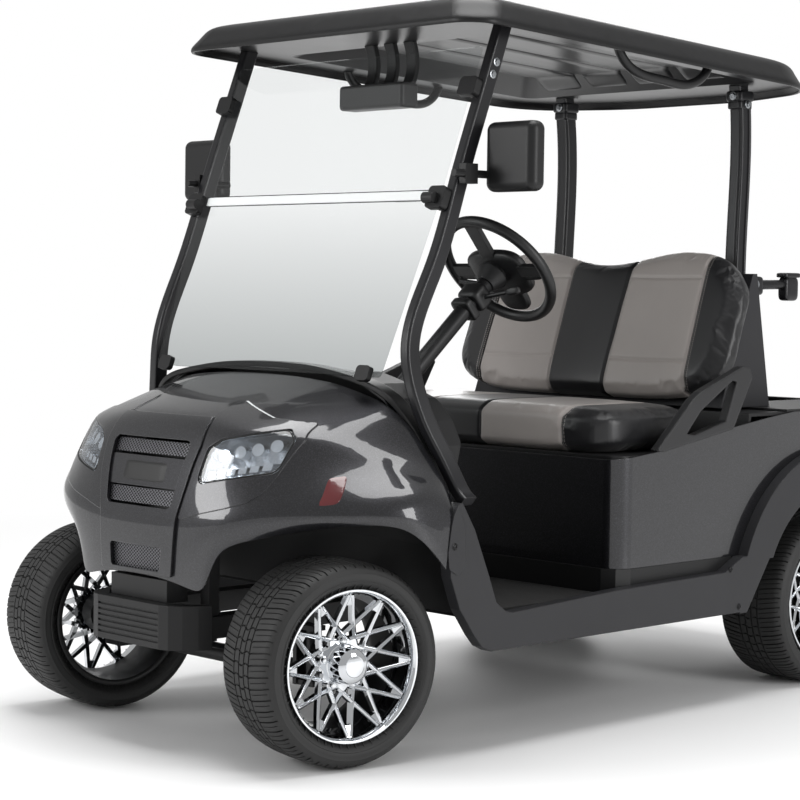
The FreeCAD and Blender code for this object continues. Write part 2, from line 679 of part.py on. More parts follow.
# Sills: leg, sill and the flare of the rear arch in one plate on each side
sill_plate = side_plate("sill_plate", [
    ("front_axle_y + 158", "574"), ("front_axle_y + 172", "530"), ("front_axle_y + 188", "484"),
    ("front_axle_y + 194", "410"), ("front_axle_y + 224", "336"), ("front_axle_y + 272", "272"),
    ("front_axle_y + 296", "246"), ("front_axle_y + 326", "sill_low"), ("440", "sill_low"), ("440", "374"),
    ("340", "374"), ("270", "floor_top + 29"), ("-150", "floor_top + 21"), ("front_axle_y + 396", "floor_top + 3"),
    ("front_axle_y + 372", "320"), ("front_axle_y + 342", "342"), ("front_axle_y + 318", "400"),
    ("front_axle_y + 268", "512"), ("front_axle_y + 228", "574")], "pod_half + seat_gap", "body_half - pod_half - seat_gap")
flare_disc = rod("flare_disc", "x", "pod_half + seat_gap", "front_axle_y + wheelbase", "tyre_radius",
                 "arch_radius + flare_width", "body_half - pod_half - seat_gap")
flare_part = doc.addObject("Part::Common", "flare_part")
flare_part.Base = flare_disc
flare_part.Tool = box("flare_zone", "pod_half - 10", "front_axle_y + wheelbase - arch_radius - flare_width - 10",
                      "229", "80", "tail_y - 2 - front_axle_y - wheelbase + arch_radius + flare_width + 10", "500")
arch_tool = rod("arch_tool", "x", "pod_half - 40", "front_axle_y + wheelbase", "tyre_radius", "arch_radius", "90")
heel_tool = side_plate("heel_tool", [
    ("356", "sill_low - 10"), ("front_axle_y + wheelbase - 290", "362"), ("front_axle_y + wheelbase", "362"),
    ("front_axle_y + wheelbase", "sill_low - 10")], "pod_half - 40", "90")
leg_pad = round_wire_face([Vector(v.body_half - 1, v.front_axle_y + along, up) for along, up in (
    (158, 572), (210, 584), (236, 520), (240, 436), (214, 412), (186, 430), (180, 500))], 12).extrude(Vector(3, 0, 0))
sill_side = cut("sill_side", fuse("sill_joined", sill_plate, flare_part, ready("leg_pad", leg_pad)),
                fuse("sill_tools", arch_tool, heel_tool))
node(both_sides("sills_pair", cut("sill_fitted", sill_side, cowl_room)), "sills")


# Rear body: a rounded shell under the seat and over the rear axle, cut to its top line and the wheel arches

def rounded_block(name, shrink, low, tall):
    """The rear body's plan, shrunk by a wall, padded upward with rounded corners."""
    body = plan_plate(name, [
        ("-pod_half + " + shrink, "pod_front_y + " + shrink), ("pod_half - " + shrink, "pod_front_y + " + shrink),
        ("pod_half - " + shrink, "tail_y - " + shrink), ("-pod_half + " + shrink, "tail_y - " + shrink)], low, tall)
    upright = edges_where(body, lambda middle, way: abs(way.z) > 50)
    return rounded(body, name + "_round", upright, "pod_corner - " + shrink)


above = side_bar("body_top_cut", [
    ("pod_front_y - 40", "pod_top"), ("pod_front_y", "pod_top"), ("33", "pod_top + 16"), ("322", "pod_top + 64"),
    ("470", "pod_top + 84"),
    ("590", "deck_top - 6 - seat_gap"), ("tail_y + 40", "deck_top - 6 - seat_gap"), ("tail_y + 40", "900"),
    ("pod_front_y - 40", "900")], "pod_half + 40")
arches = rod("body_arches", "x", "-pod_half - 40", "front_axle_y + wheelbase", "tyre_radius", "arch_radius",
             "2 * pod_half + 80")
shell = cut("body_hollow", rounded_block("body_outer", "0", "pod_low", "400"),
            rounded_block("body_inner", "skin", "pod_low - 10", "420"))
node(cut("body_cut", cut("body_topped", shell, above), arches), "rear_body")
base_bar = side_bar("base_bar", [
    ("pod_front_y + skin + seat_gap", "seat_low - seat_gap - 9"), ("pod_front_y + skin + seat_gap", "seat_low - seat_gap"),
    ("seat_rear_y + 110", "seat_low - seat_gap"), ("seat_rear_y + 118", "deck_top - 6 - seat_gap"),
    ("588", "deck_top - 6 - seat_gap"), ("588", "deck_top - 15"), ("seat_rear_y + 127", "deck_top - 15"),
    ("seat_rear_y + 119", "seat_low - seat_gap - 9")], "pod_half - skin - seat_gap")
base_fitted = doc.addObject("Part::Common", "base_fitted")
base_fitted.Base = base_bar
base_fitted.Tool = rounded_block("base_room", "(skin + 2)", "pod_low", "400")
pins = [rod("seat_pin_%d" % number, "x", start, "seat_rear_y", "seat_low", "hinge_radius", "70")
        for number, start in enumerate(("-seat_half + 60", "seat_half - 130"))]
node(fuse("base_with_pins", base_fitted, *pins), "seat_base")
node(box("battery", "-340", "-90", "rail_low + rail_tall + seat_gap", "680", "500", "250"), "battery_pack")
deck = box("deck_plate", "-pod_half + 2", "560", "deck_top - 6", "2 * pod_half - 4", "tail_y - 562", "6")
well_hole = box("well_hole", "-273", "tail_y - 408", "300", "546", "381", "600")
node(cut("deck_cut", deck, well_hole), "rear_deck")
well_block = box("well_block", "-280", "tail_y - 415", "rail_low + rail_kick + rail_tall + seat_gap", "560", "395",
                 "deck_top - 6 - 2 * seat_gap - rail_low - rail_kick - rail_tall")
well_inside = box("well_inside", "-275", "tail_y - 410", "rail_low + rail_kick + rail_tall + 6", "550", "385", "600")
node(cut("well_cut", well_block, well_inside), "bag_well")
rear_bar = box("rear_bar", "-470", "rear_bumper_y - 36", "rail_low + 8", "940", "36", "100")
hitch_holes = [rod("hitch_hole_%d%d" % (i, j), "y", across, "rear_bumper_y - 40", up, "hitch_hole", "50")
               for i, across in enumerate(("-hitch_wide / 2", "hitch_wide / 2"))
               for j, up in enumerate(("rail_low + 58 - hitch_tall / 2", "rail_low + 58 + hitch_tall / 2"))]
node(cut("rear_bar_drilled", rear_bar, group("hitch_holes", *hitch_holes)), "rear_bumper")
node(both_sides("tail_lamp_pair", box("tail_lamp", "430", "tail_y + seat_gap", "590", "90", "18", "60")), "tail_lamps")

# Seat: a cushion that lifts, a backrest, the shell behind it and the hip restraints
cushion = box("cushion_block", "-seat_half", "seat_front_y", "seat_low", "2 * seat_half", "seat_rear_y - seat_front_y",
              "seat_thick")
cushion_round = doc.addObject("Part::Fillet", "cushion_round")
cushion_round.Base = cushion
doc.recompute()
cushion_round.Edges = [(number + 1, 24, 24) for number in range(len(cushion.Shape.Edges))]
node(cushion_round, "seat_cushion")

back = doc.addObject("PartDesign::Body", "back")
back_outline = draw(back, "back_outline", "XZ_Plane", both_halves([
    ("0", "0"), ("back_half - 50", "0"), ("back_half", "60"), ("back_half", "back_tall - 130"),
    ("back_half - 30", "back_tall - 46"), ("back_half - 110", "back_tall - 8"), ("270", "back_tall"),
    ("140", "back_tall - 22"), ("0", "back_tall - 42")]), "-back_thick")
pad(back, "back_pad", back_outline, "back_thick")
face_edges = edges_where(back, lambda middle, way: abs(way.y) < 1)
rounded(back, "back_round", face_edges, "24")
node(place(back, "0", "back_front_y", "back_low", Vector(1, 0, 0), "-back_lean"), "backrest")
back_shell_outer = side_bar("back_shell_outer", [
    ("back_front_y + (back_thick + seat_gap) / cos(back_lean * 1 deg) + 336 * tan(back_lean * 1 deg)", "1100"),
    ("580", "1100"), ("rear_strut_y - 26", "deck_top + seat_gap"),
    ("back_front_y + (back_thick + seat_gap) / cos(back_lean * 1 deg) - 18 * tan(back_lean * 1 deg)",
     "deck_top + seat_gap")], "450")
back_shell_inner = side_bar("back_shell_inner", [
    ("553", "1060"), ("579", "1060"), ("rear_strut_y - 33", "deck_top + seat_gap + 6"),
    ("452", "deck_top + seat_gap + 6")], "444")
node(cut("back_shell_cut", back_shell_outer, back_shell_inner), "back_shell")
hip_outer = side_plate("hip_outer", [
    ("6", "660"), ("140", "780"), ("172", "800"), ("345", "861"), ("372", "858"), ("384", "832"), ("300", "690"),
    ("60", "648")], "pod_half - 8", "24")
hip_hole = side_plate("hip_hole", [
    ("118", "697"), ("172", "752"), ("300", "826"), ("318", "822"), ("276", "722"), ("150", "692")],
    "pod_half - 20", "60")
hip_foot = side_plate("hip_foot", [
    ("pod_front_y - 40", "pod_top - 60"), ("pod_front_y", "pod_top + seat_gap"), ("33", "pod_top + 16 + seat_gap"),
    ("322", "pod_top + 64 + seat_gap"), ("470", "pod_top + 84 + seat_gap"), ("470", "pod_top - 60")],
    "pod_half - 20", "60")
node(both_sides("hip_pair", cut("hip_seated", cut("hip_open", hip_outer, hip_hole), hip_foot)), "hip_restraints")


# Roof: a hollow moulded tray, its liner, the grab handles and the struts that carry it

def on_roof(x, y, height):
    """A point given across, behind the roof's front edge, and above its lower edge."""
    fall = math.radians(v.roof_tilt)
    return Vector(x, v.roof_front_y + y * math.cos(fall) + height * math.sin(fall),
                  v.roof_front_z - y * math.sin(fall) + height * math.cos(fall))


ROOF_RINGS = [(2, 0, 76, 200), (0, 7, 78, 204), (10, 30, 80, 202), (25, 56, 80, 190), (52, 74, 76, 170),
              (102, 86, 70, 146), (198, 97, 60, 105), (316, 104, 45, 65), (420, 106, 25, 28)]
ROOF_BEND = 600


def roof_ring(inset, level, front_corner, rear_corner):
    """The roof's plan at a height, bowed at its rear end and shrunk by an inset."""
    half = v.roof_half - inset
    bow = v.roof_rear_bow * (half / v.roof_half) ** 2
    rear = v.roof_rear_y - v.roof_front_y - inset
    side = [(half, inset), (half, rear - bow), (0.4 * half, rear)]
    radii = [front_corner, rear_corner, ROOF_BEND]
    spots = [on_roof(x, y, level) for x, y in side + [(-x, y) for x, y in reversed(side)]]
    return round_wire_face(spots, radii + radii[::-1]).OuterWire


def roof_form(inset):
    """The roof's outer form, or the same form shrunk on every side but its lower one."""
    rings = []
    for number, (side, height, front_corner, rear_corner) in enumerate(ROOF_RINGS):
        level = height * v.roof_tall / ROOF_RINGS[-1][1] - (inset if height > 20 else 0)
        if number == 0 and inset:
            level -= 5
        rings.append(roof_ring(side + inset, level, front_corner, rear_corner))
    return Part.makeLoft(rings, True, False)


def roof_slab(low, high, half=700, start=-100, end=1600):
    """A slab parallel to the roof between two heights."""
    corners = [on_roof(x, y, low) for x, y in ((half, start), (half, end), (-half, end), (-half, start))]
    face = Part.Face(Part.makePolygon(corners + corners[:1]))
    return face.extrude((on_roof(0, 0, 1) - on_roof(0, 0, 0)) * (high - low))


VAULT_FRONT, VAULT_REAR, VAULT_SIDE = 262, 212, 118
VAULT_SLOPE = 70
LINER_THICK = 6


def vault(grow, low, high):
    """The room of the liner's vault: a block that narrows upward from the border."""
    length = v.roof_rear_y - v.roof_front_y
    wires = []
    for level, inset in ((low, -grow), (high, VAULT_SLOPE - grow)):
        half, front, rear = v.roof_half - VAULT_SIDE - inset, VAULT_FRONT + inset, length - VAULT_REAR - inset
        corners = [on_roof(x, y, level) for x, y in ((half, front), (half, rear), (-half, rear), (-half, front))]
        wires.append(round_wire_face(corners, 40).OuterWire)
    return Part.makeLoft(wires, True, True)


def build_liner():
    """A border plate across the roof with a hollow vault over the seats."""
    border_top = v.liner_height + LINER_THICK
    border = roof_form(v.roof_skin + v.seat_gap).common(roof_slab(v.liner_height, border_top))
    top = border_top + v.vault_rise
    outside = vault(LINER_THICK, v.liner_height + LINER_THICK / 2, top)
    return border.fuse(outside).cut(vault(0, v.liner_height - 1, top - LINER_THICK)).removeSplitter()


over_liner = roof_slab(v.liner_height - v.seat_gap, 300)
node(ready("roof_shell", roof_form(0).cut(roof_form(v.roof_skin))), "roof")
node(ready("liner", build_liner()), "roof_liner")


def build_handle():
    """A grab handle along the roof's side."""
    spots = [on_roof(486, 545, v.liner_height + 20), on_roof(486, 572, v.liner_height - 26),
             on_roof(482, 635, v.liner_height - 52), on_roof(480, 740, v.liner_height - 58),
             on_roof(482, 845, v.liner_height - 54), on_roof(486, 890, v.liner_height - 28),
             on_roof(486, 912, v.liner_height + 20)]
    return swept_tube(spots, v.handle_radius, 24).cut(over_liner)


def screen_point(x, behind, up):
    """A point in the windscreen's own plane: across, behind its front face, and up its slope."""
    lean = math.radians(v.screen_lean)
    return Vector(x, v.screen_low_y + behind * math.cos(lean) + up * math.sin(lean),
                  v.screen_low - behind * math.sin(lean) + up * math.cos(lean))


def build_front_strut():
    """A box-section strut from the roof down along the windscreen and out to the leg."""
    behind = v.screen_thick + v.seat_gap + v.strut_deep / 2
    top, knee = screen_point(v.strut_half, behind, 900), screen_point(v.strut_half, behind, 70)
    half = (top + knee) * 0.5
    quarter = (half + knee) * 0.5
    spots = [top, (top + half) * 0.5, half, quarter, knee, Vector(v.strut_half + 15, v.screen_low_y + 54, 820),
             Vector(v.strut_half + 42, v.screen_low_y + 72, 735), Vector(v.strut_half + 78, v.screen_low_y + 98, 650),
             Vector(v.pod_half - 2, v.screen_low_y + 106, 590), Vector(v.pod_half + 18, v.screen_low_y + 106, 574.6)]
    return swept_bar(spots, Vector(1, 0, 0), v.strut_wide, v.strut_deep, 30).cut(over_liner)


def build_rear_strut(grow=0.0):
    """A strut bowed to the rear from the deck up to the roof, or the room that it takes."""
    foot = Part.makeBox(200, 200, 100, Vector(v.rear_strut_half - 100, v.rear_strut_y - 100,
                                              v.deck_top + v.seat_gap - 100))
    spots = [Vector(v.rear_strut_half + 6, v.rear_strut_y + 2, v.deck_top - 8),
             Vector(v.rear_strut_half + 4, v.rear_strut_y - 8, 930),
             Vector(v.rear_strut_half, v.rear_strut_y - 10, 1100),
             Vector(v.rear_strut_half, v.rear_strut_y + 2, 1400),
             Vector(v.rear_strut_half + 4, v.rear_strut_y - 20, 1640)]
    strut = swept_bar(spots, Vector(1, 0, 0), v.rear_strut_wide + 2 * grow, v.rear_strut_deep + 2 * grow, 16)
    return strut.cut(over_liner).cut(foot)


node(ready("handles", both(build_handle())), "roof_handles")
node(ready("front_strut_pair", both(build_front_strut())), "front_struts")
node(ready("rear_strut_pair", both(build_rear_strut())), "rear_struts")


# Brow: the black arch between hood and windscreen, narrow at its sides

def build_brow(grow):
    """The brow, or the room that it takes with a gap all round."""
    half = [on_cowl(0, 194, 862), on_cowl(150, 193, 858), on_cowl(300, 188, 838), on_cowl(412, 192, 800),
            on_cowl(458, 213, 746), on_cowl(487, 234, 682), on_cowl(500, 256, 614)]
    spots = [Vector(-spot.x, spot.y, spot.z) for spot in half[:0:-1]] + half
    count = 25
    spots = curve_through(spots, count)
    wires = []
    for i, spot in enumerate(spots):
        along = (spots[min(i + 1, count - 1)] - spots[max(i - 1, 0)]).normalize()
        side = Vector(0, 1, 0)
        normal = along.cross(side).normalize()
        across = normal.cross(along).normalize()
        wide = v.brow_side + (v.brow_middle - v.brow_side) * math.sin(math.pi * i / (count - 1)) + 2 * grow
        deep = v.brow_thick + 2 * grow
        corners = [spot + across * (a * wide / 2) + normal * (b * deep / 2)
                   for a, b in ((1, 1), (-1, 1), (-1, -1), (1, -1))]
        wires.append(round_wire_face(corners, 4).OuterWire)
    return Part.makeLoft(wires, True, False)


def build_dash():
    """Hollow dashboard under the brow, open towards the cowl, with a hole for the steering column."""
    def form(wall):
        side = [Vector(-600, y, z) for y, z in (
            (v.front_axle_y + 176, 900), (v.front_axle_y + 300 - wall, 860), (v.front_axle_y + 346 - wall, 785 - wall),
            (v.front_axle_y + 352 - wall, 700), (v.front_axle_y + 330 - wall, 640.3 + wall),
            (v.front_axle_y + 176 + wall / 2, 640.3 + wall))]
        front = mirrored_outline([(x, z - wall) for x, z in outline_xz(
            (250, 852), (330, 828), (400, 796), (448, 746), (476, 690))] + [(v.body_half - 115 - wall, 600)])
        block = Part.Face(Part.makePolygon(side + side[:1])).extrude(Vector(1200, 0, 0))
        return block.common(front_prism(front, 6, v.front_axle_y + 100, v.front_axle_y + 500))
    room = net_solid(net, -10, 10 + v.skin + v.seat_gap)
    return form(0).cut(form(v.skin).translated(Vector(0, -v.skin, 0))).cut(build_brow(v.seat_gap)).cut(room)


def on_column(along, radius, length):
    """A cylinder on the steering column's axis, measured from the wheel's middle towards the driver."""
    angle = math.radians(v.column_angle)
    way = Vector(0, math.cos(angle), math.sin(angle))
    return Part.makeCylinder(radius, length, Vector(v.wheel_x, v.wheel_y, v.wheel_z) + way * along, way)


node(ready("brow_arch", build_brow(0)), "cowl_brow")
node(ready("dash", build_dash().cut(on_column(-v.column_length - 40, v.column_radius + v.seat_gap,
                                              v.column_length))), "dashboard")


# Windscreen of two clear panes with its clips, and the mirrors

def screen_plate(outline, start, thick):
    """A plate in the windscreen's plane, from (across, up) corners, behind its front face by start."""
    low = [screen_point(x, start, up) for x, up in outline]
    return round_wire_face(low, 10).extrude((screen_point(0, 1, 0) - screen_point(0, 0, 0)) * thick)


lean_cos = math.cos(math.radians(v.screen_lean))
seam_up = (v.screen_seam - v.screen_low) / lean_cos
top_up = (v.screen_top - v.screen_low) / lean_cos
lower_pane = screen_plate([(-v.screen_half + 28, 0), (v.screen_half - 28, 0), (v.screen_half, seam_up - 1),
                           (-v.screen_half, seam_up - 1)], 0, v.screen_thick)
upper_pane = screen_plate([(-v.screen_half, seam_up), (v.screen_half, seam_up), (v.screen_half, top_up),
                           (-v.screen_half, top_up)], 0, v.screen_thick)
node(ready("screen", Part.makeCompound([lower_pane, upper_pane])), "windscreen")


def clasp(low, high):
    """A block that laps over the pane's edge and sits on the strut behind it."""
    inner, outer = v.screen_half + v.seat_gap, v.strut_half + 10
    lap = screen_plate([(v.screen_half - 24, low), (outer, low), (outer, high), (v.screen_half - 24, high)],
                       -16, 16 - v.seat_gap)
    foot = screen_plate([(inner, low), (outer, low), (outer, high), (inner, high)], -16, 16 + v.screen_thick)
    return lap.fuse(foot).removeSplitter()


def build_clips():
    """Rubber foot clips, seam hinges and the upper catches, left side, in front of the panes."""
    foot = screen_plate([(340, -14), (384, -14), (384, 22), (340, 22)], -14, 14 - v.seat_gap)
    knob = Part.makeCylinder(13, 34, screen_point(v.strut_half - 44, -22, seam_up - 2), Vector(1, 0, 0))
    hinge = clasp(seam_up - 24, seam_up + 30).fuse(knob).removeSplitter()
    return [foot, hinge, clasp(top_up - 130, top_up - 84)]


clips = build_clips()
node(ready("clips", Part.makeCompound(clips + [mirror_shape(clip) for clip in clips])), "windscreen_clips")


def build_mirror():
    """Outside mirror: a rounded housing on a short arm that clamps the strut."""
    housing = Part.makeBox(152, 52, 160, Vector(480, v.mirror_y - 26, v.mirror_z - 80))
    housing = housing.makeFillet(20, housing.Edges)
    behind = v.screen_thick + v.seat_gap + v.strut_deep / 2
    up = (v.mirror_z - 40 - v.screen_low) / lean_cos + behind * math.tan(math.radians(v.screen_lean))
    grip = screen_point(v.strut_half + v.strut_wide / 2 + v.seat_gap, behind, up)
    clamp = Part.makeBox(22, 40, 46, grip + Vector(0, -20, -23))
    arm = Part.makeCylinder(9, 62 + v.mirror_y - grip.y, grip + Vector(13, -50, 0), Vector(0, 1, 0))
    reach = Part.makeCylinder(9, 40, Vector(grip.x + 13, v.mirror_y, grip.z), Vector(1, 0, 0))
    return housing.fuse([clamp, arm, reach]).removeSplitter()


node(ready("mirror_pair", both(build_mirror())), "mirrors")


def build_overhead():
    """A console under the roof on three curved arms."""
    low = on_roof(0, v.console_y, 0).z - 150
    console = Part.makeBox(230, 60, 62, Vector(-115, v.roof_front_y + v.console_y - 30, low))
    console = console.makeFillet(10, console.Edges)
    for x in (-70, 0, 70):
        spots = [Vector(x, v.roof_front_y + v.console_y + 20, low + 40),
                 Vector(x, v.roof_front_y + v.console_y + 46, low + 80),
                 on_roof(x, v.console_y + 30, v.liner_height + 16)]
        console = console.fuse(swept_bar(spots, Vector(1, 0, 0), 34, 16, 8).cut(over_liner))
    return console.removeSplitter()


node(ready("overhead", build_overhead()), "overhead_console")
rack_spots = [Vector(v.rear_strut_half, v.rear_strut_y - 8, 1068), Vector(v.rear_strut_half, 800, 1072),
              Vector(v.rear_strut_half - 2, 900, 1074), Vector(v.rear_strut_half - 32, 950, 1074),
              Vector(120, 962, 1074)]
rack_path = rack_spots + [Vector(-spot.x, spot.y, spot.z) for spot in reversed(rack_spots)]
strut_room = both(build_rear_strut(v.seat_gap))
node(ready("bag_bar", swept_tube(rack_path, 13, 60).cut(strut_room)), "bag_bar")

# Steering: column, wheel, rack with its tie rods, knuckles on the front axle
column = on_column(-v.column_length, v.column_radius, v.column_length - 60)
cover = Part.makeCone(40, 24, 36, Vector(0, 0, -22.5), Vector(0, 0, -1))
cover.Placement = Placement(Vector(v.wheel_x, v.wheel_y, v.wheel_z), Rotation(Vector(1, 0, 0), v.column_angle - 90))
lever = Part.makeCylinder(6, 90, Vector(v.wheel_x, v.wheel_y - 40, v.wheel_z - 38), Vector(-1, 0, 0.1))
node(ready("column", column.fuse([cover, lever]).removeSplitter()), "steering_column")

rim = doc.addObject("Part::Torus", "wheel_grip")
rim.setExpression("Radius1", bound("wheel_radius"))
rim.setExpression("Radius2", bound("wheel_grip"))
hub = rod("wheel_hub", "z", "0", "0", "-22", "36", "40")
spoke_left = box("wheel_spoke_left", "0", "-16", "-9", "wheel_radius", "32", "13")
spoke_right = box("wheel_spoke_right", "-wheel_radius", "-16", "-9", "wheel_radius", "32", "13")
spoke_low = box("wheel_spoke_low", "-20", "-wheel_radius", "-9", "40", "wheel_radius", "13")
turning = fuse("steering_wheel_joined", rim, hub, spoke_left, spoke_right, spoke_low)
node(place(turning, "wheel_x", "wheel_y", "wheel_z", Vector(1, 0, 0), "column_angle - 90"), "steering_wheel")

tie_bar = rod("tie_bar", "x", "-front_track / 2 + kingpin_inset", "0", "0", "rack_radius",
              "front_track - 2 * kingpin_inset")
balls = [rod("tie_ball_%s" % name, "z", x, "0", "0", "rack_radius - 1", "10 - run_gap")
         for name, x in (("left", "front_track / 2 - kingpin_inset"), ("right", "-front_track / 2 + kingpin_inset"))]
node(place(fuse("rack", tie_bar, *balls), "-arm_length * sin(steer_rest * 1 deg)",
           "front_axle_y + arm_length * cos(steer_rest * 1 deg)", "arm_low - 10"), "steering_rack")

beam = rod("beam", "x", "-front_track / 2 + kingpin_inset + 40", "front_axle_y", "beam_z", "beam_radius",
           "front_track - 2 * kingpin_inset - 80")
yoke_x = "front_track / 2 - kingpin_inset"
yoke = [box("yoke_plate", yoke_x + " - 46", "front_axle_y - 22", "160", "12", "44", "136"),
        box("yoke_low", yoke_x + " - 46", "front_axle_y - 18", "160", "64", "36", "11.5"),
        box("yoke_high", yoke_x + " - 46", "front_axle_y - 18", "284.5", "64", "36", "11.5")]
yoke_left = fuse("yoke_left", *yoke)
node(fuse("front_axle_joined", beam, yoke_left, mirrored(yoke_left)), "front_axle")


def knuckle(side, name):
    """A knuckle on its kingpin: barrel, stub axle and steering arm."""
    barrel = rod(name + "_barrel", "z", "0", "0", "172", "17", "112")
    stub_start = "0" if side > 0 else "-kingpin_inset - 20"
    stub = rod(name + "_stub", "x", stub_start, "0", "tyre_radius", "axle_radius", "kingpin_inset + 20")
    arm = box(name + "_arm", "-11", "0", "arm_low", "22", "arm_length", "12")
    eye = rod(name + "_eye", "z", "0", "arm_length", "arm_low", "13", "12")
    joined = fuse(name + "_joined", barrel, stub, arm, eye)
    sign = "" if side > 0 else "-"
    return node(place(joined, sign + "(front_track / 2 - kingpin_inset)", "front_axle_y", "0",
                      Vector(0, 0, 1), "steer_rest"), name)


knuckle(1, "knuckle_left")
knuckle(-1, "knuckle_right")

axle_tube = rod("axle_tube", "x", "-rear_track / 2 + 84", "front_axle_y + wheelbase", "tyre_radius", "rear_tube",
                "rear_track - 168")
gearbox = rod("gearbox", "x", "-60", "front_axle_y + wheelbase", "tyre_radius", "86", "150")
motor = rod("motor", "y", "20", "front_axle_y + wheelbase + 40", "tyre_radius", "86", "290")
drums = []
for name, drum_x, stub_x in (("left", "rear_track / 2 - 84", "rear_track / 2 - 60"),
                             ("right", "-rear_track / 2 + 49", "-rear_track / 2 - 20")):
    drums.append(rod("drum_" + name, "x", drum_x, "front_axle_y + wheelbase", "tyre_radius", "84", "35"))
    drums.append(rod("stub_" + name, "x", stub_x, "front_axle_y + wheelbase", "tyre_radius", "axle_radius", "80"))
node(fuse("rear_axle_joined", axle_tube, gearbox, motor, *drums), "rear_axle")


def build_springs():
    """Leaf springs under the rails, resting on both axles."""
    rear_y, tube_top = rear_axle_y, v.tyre_radius + v.rear_tube
    rear_end = v.rail_low + v.rail_kick - 14 - v.seat_gap - 6
    front_end = v.rail_low - 6 - v.seat_gap - 6
    rear_leaf = swept_bar([Vector(v.rail_half, rear_y - 208, rear_end), Vector(v.rail_half, rear_y, tube_top + 6.8),
                           Vector(v.rail_half, rear_y + 210, rear_end)], Vector(1, 0, 0), 44, 12, 14)
    front_leaf = swept_bar([Vector(v.rail_half, v.front_axle_y - 134, front_end),
                            Vector(v.rail_half, v.front_axle_y, v.beam_z + v.beam_radius + 6.8),
                            Vector(v.rail_half, v.front_axle_y + 134, front_end)], Vector(1, 0, 0), 44, 12, 14)
    return [rear_leaf, front_leaf]


springs = build_springs()
node(ready("springs", Part.makeCompound(springs + [mirror_shape(leaf) for leaf in springs])), "leaf_springs")

# Pedals on the toe board
toe_y = "floor_front_y + 5 + seat_gap - (%s - floor_top) * 55 / (470 - floor_top)"
pedals = []
for name, start, wide in (("brake", "180", "90"), ("drive", "296", "62")):
    pedals.append(side_plate(name + "_pedal", [
        (toe_y % "392", "392"), ("floor_front_y + 34", "392"), ("floor_front_y + 50", "348"),
        ("floor_front_y + 58", "350"), ("floor_front_y + 20", "462"), ("floor_front_y + 12", "460"),
        ("floor_front_y + 31", "402"), (toe_y % "402", "402")], start, wide))
node(group("pedal_pair", *pedals), "pedals")


# Wheels: a revolved rim with a spoked star face, and a smooth hollow tyre on each

def wheel(name, side, x, y, steered):
    """One rim with its star, hub and cap, its outer side towards +X before it is placed."""
    body = doc.addObject("PartDesign::Body", name + "_body")
    barrel = draw(body, name + "_profile", "XY_Plane", [
        ("rim_half - 1", "rim_lip"), ("rim_half - 8", "rim_lip"), ("rim_half - 9", "bead_radius + 2"),
        ("rim_half - 28", "bead_radius - 1"), ("rim_half - 45", "bead_radius - 8"),
        ("-rim_half + 45", "bead_radius - 8"), ("-rim_half + 28", "bead_radius - 1"),
        ("-rim_half + 9", "bead_radius + 2"), ("-rim_half + 8", "rim_lip"), ("-rim_half + 1", "rim_lip"),
        ("-rim_half + 2", "bead_radius + 2 - rim_wall"), ("-rim_half + 28", "bead_radius - 1 - rim_wall"),
        ("-rim_half + 45", "bead_radius - 8 - rim_wall"), ("rim_half - 45", "bead_radius - 8 - rim_wall"),
        ("rim_half - 28", "bead_radius - 1 - rim_wall"), ("rim_half - 2", "bead_radius + 2 - rim_wall")])
    turned = body.newObject("PartDesign::Revolution", name + "_barrel")
    turned.Profile = barrel
    turned.ReferenceAxis = (barrel, ["H_Axis"])
    turned.Angle = 360
    body.Tip = turned
    disc = draw(body, name + "_disc_profile", "XY_Plane", [
        ("-25", "axle_radius + run_gap"), ("-25", "hub_radius"), ("hub_face - spoke_thick - 4", "hub_radius"),
        ("hub_face - spoke_thick", "plate_radius"), ("rim_half - spoke_set - spoke_thick", "bead_radius - 5"),
        ("rim_half - spoke_set", "bead_radius - 5"), ("hub_face + 2", "plate_radius"),
        ("hub_face", "plate_radius - 4"), ("hub_face", "cap_radius"), ("hub_face + cap_length - 12", "cap_radius - 5"),
        ("hub_face + cap_length - 2", "cap_radius - 14"), ("hub_face + cap_length", "cap_radius - 24"),
        ("hub_face + cap_length", "0"), ("24", "0"), ("24", "axle_radius + run_gap")])
    face = body.newObject("PartDesign::Revolution", name + "_face")
    face.Profile = disc
    face.ReferenceAxis = (disc, ["H_Axis"])
    face.Angle = 360
    body.Tip = face
    doc.recompute()
    for number, outline in enumerate(star_windows()):
        window = draw(body, "%s_window_%d" % (name, number), "YZ_Plane", outline, "hub_face - spoke_thick - 8")
        opening = body.newObject("PartDesign::Pocket", "%s_opening_%d" % (name, number))
        opening.Profile = window
        opening.Reversed = True
        opening.setExpression("Length", bound("rim_half - hub_face + spoke_thick + 20"))
        body.Tip = opening
        doc.recompute()
        star = body.newObject("PartDesign::PolarPattern", "%s_star_%d" % (name, number))
        star.Originals = [opening]
        star.Axis = (window, ["N_Axis"])
        star.Angle = 360
        star.setExpression("Occurrences", bound("spoke_count"))
        body.Tip = star
        doc.recompute()
    item = node(body, name)
    angle = "steer_rest" if steered else "0"
    return place(item, x, y, "tyre_radius", Vector(0, 0, 1), angle if side > 0 else angle + " + 180")


def polar(radius, angle):
    """Corner texts of a point by radius (text) and angle in spoke steps."""
    turn = "(%s * 360 / spoke_count) * 1 deg" % angle
    return ("(%s) * cos(%s)" % (radius, turn), "(%s) * sin(%s)" % (radius, turn))


def star_windows():
    """A kite between two V spokes and a triangle outside it, as corner texts."""
    kite = [polar("plate_radius + 2", "0.06"), polar("plate_radius + 20", "0.26"), polar("bead_radius - 24", "0.05"),
            polar("bead_radius - 24", "-0.05"), polar("plate_radius + 20", "-0.26"), polar("plate_radius + 2", "-0.06")]
    triangle = [polar("plate_radius + 30", "0.5"), polar("bead_radius - 10", "0.84"), polar("bead_radius - 8", "0.5"),
                polar("bead_radius - 10", "0.16")]
    return [kite, triangle]


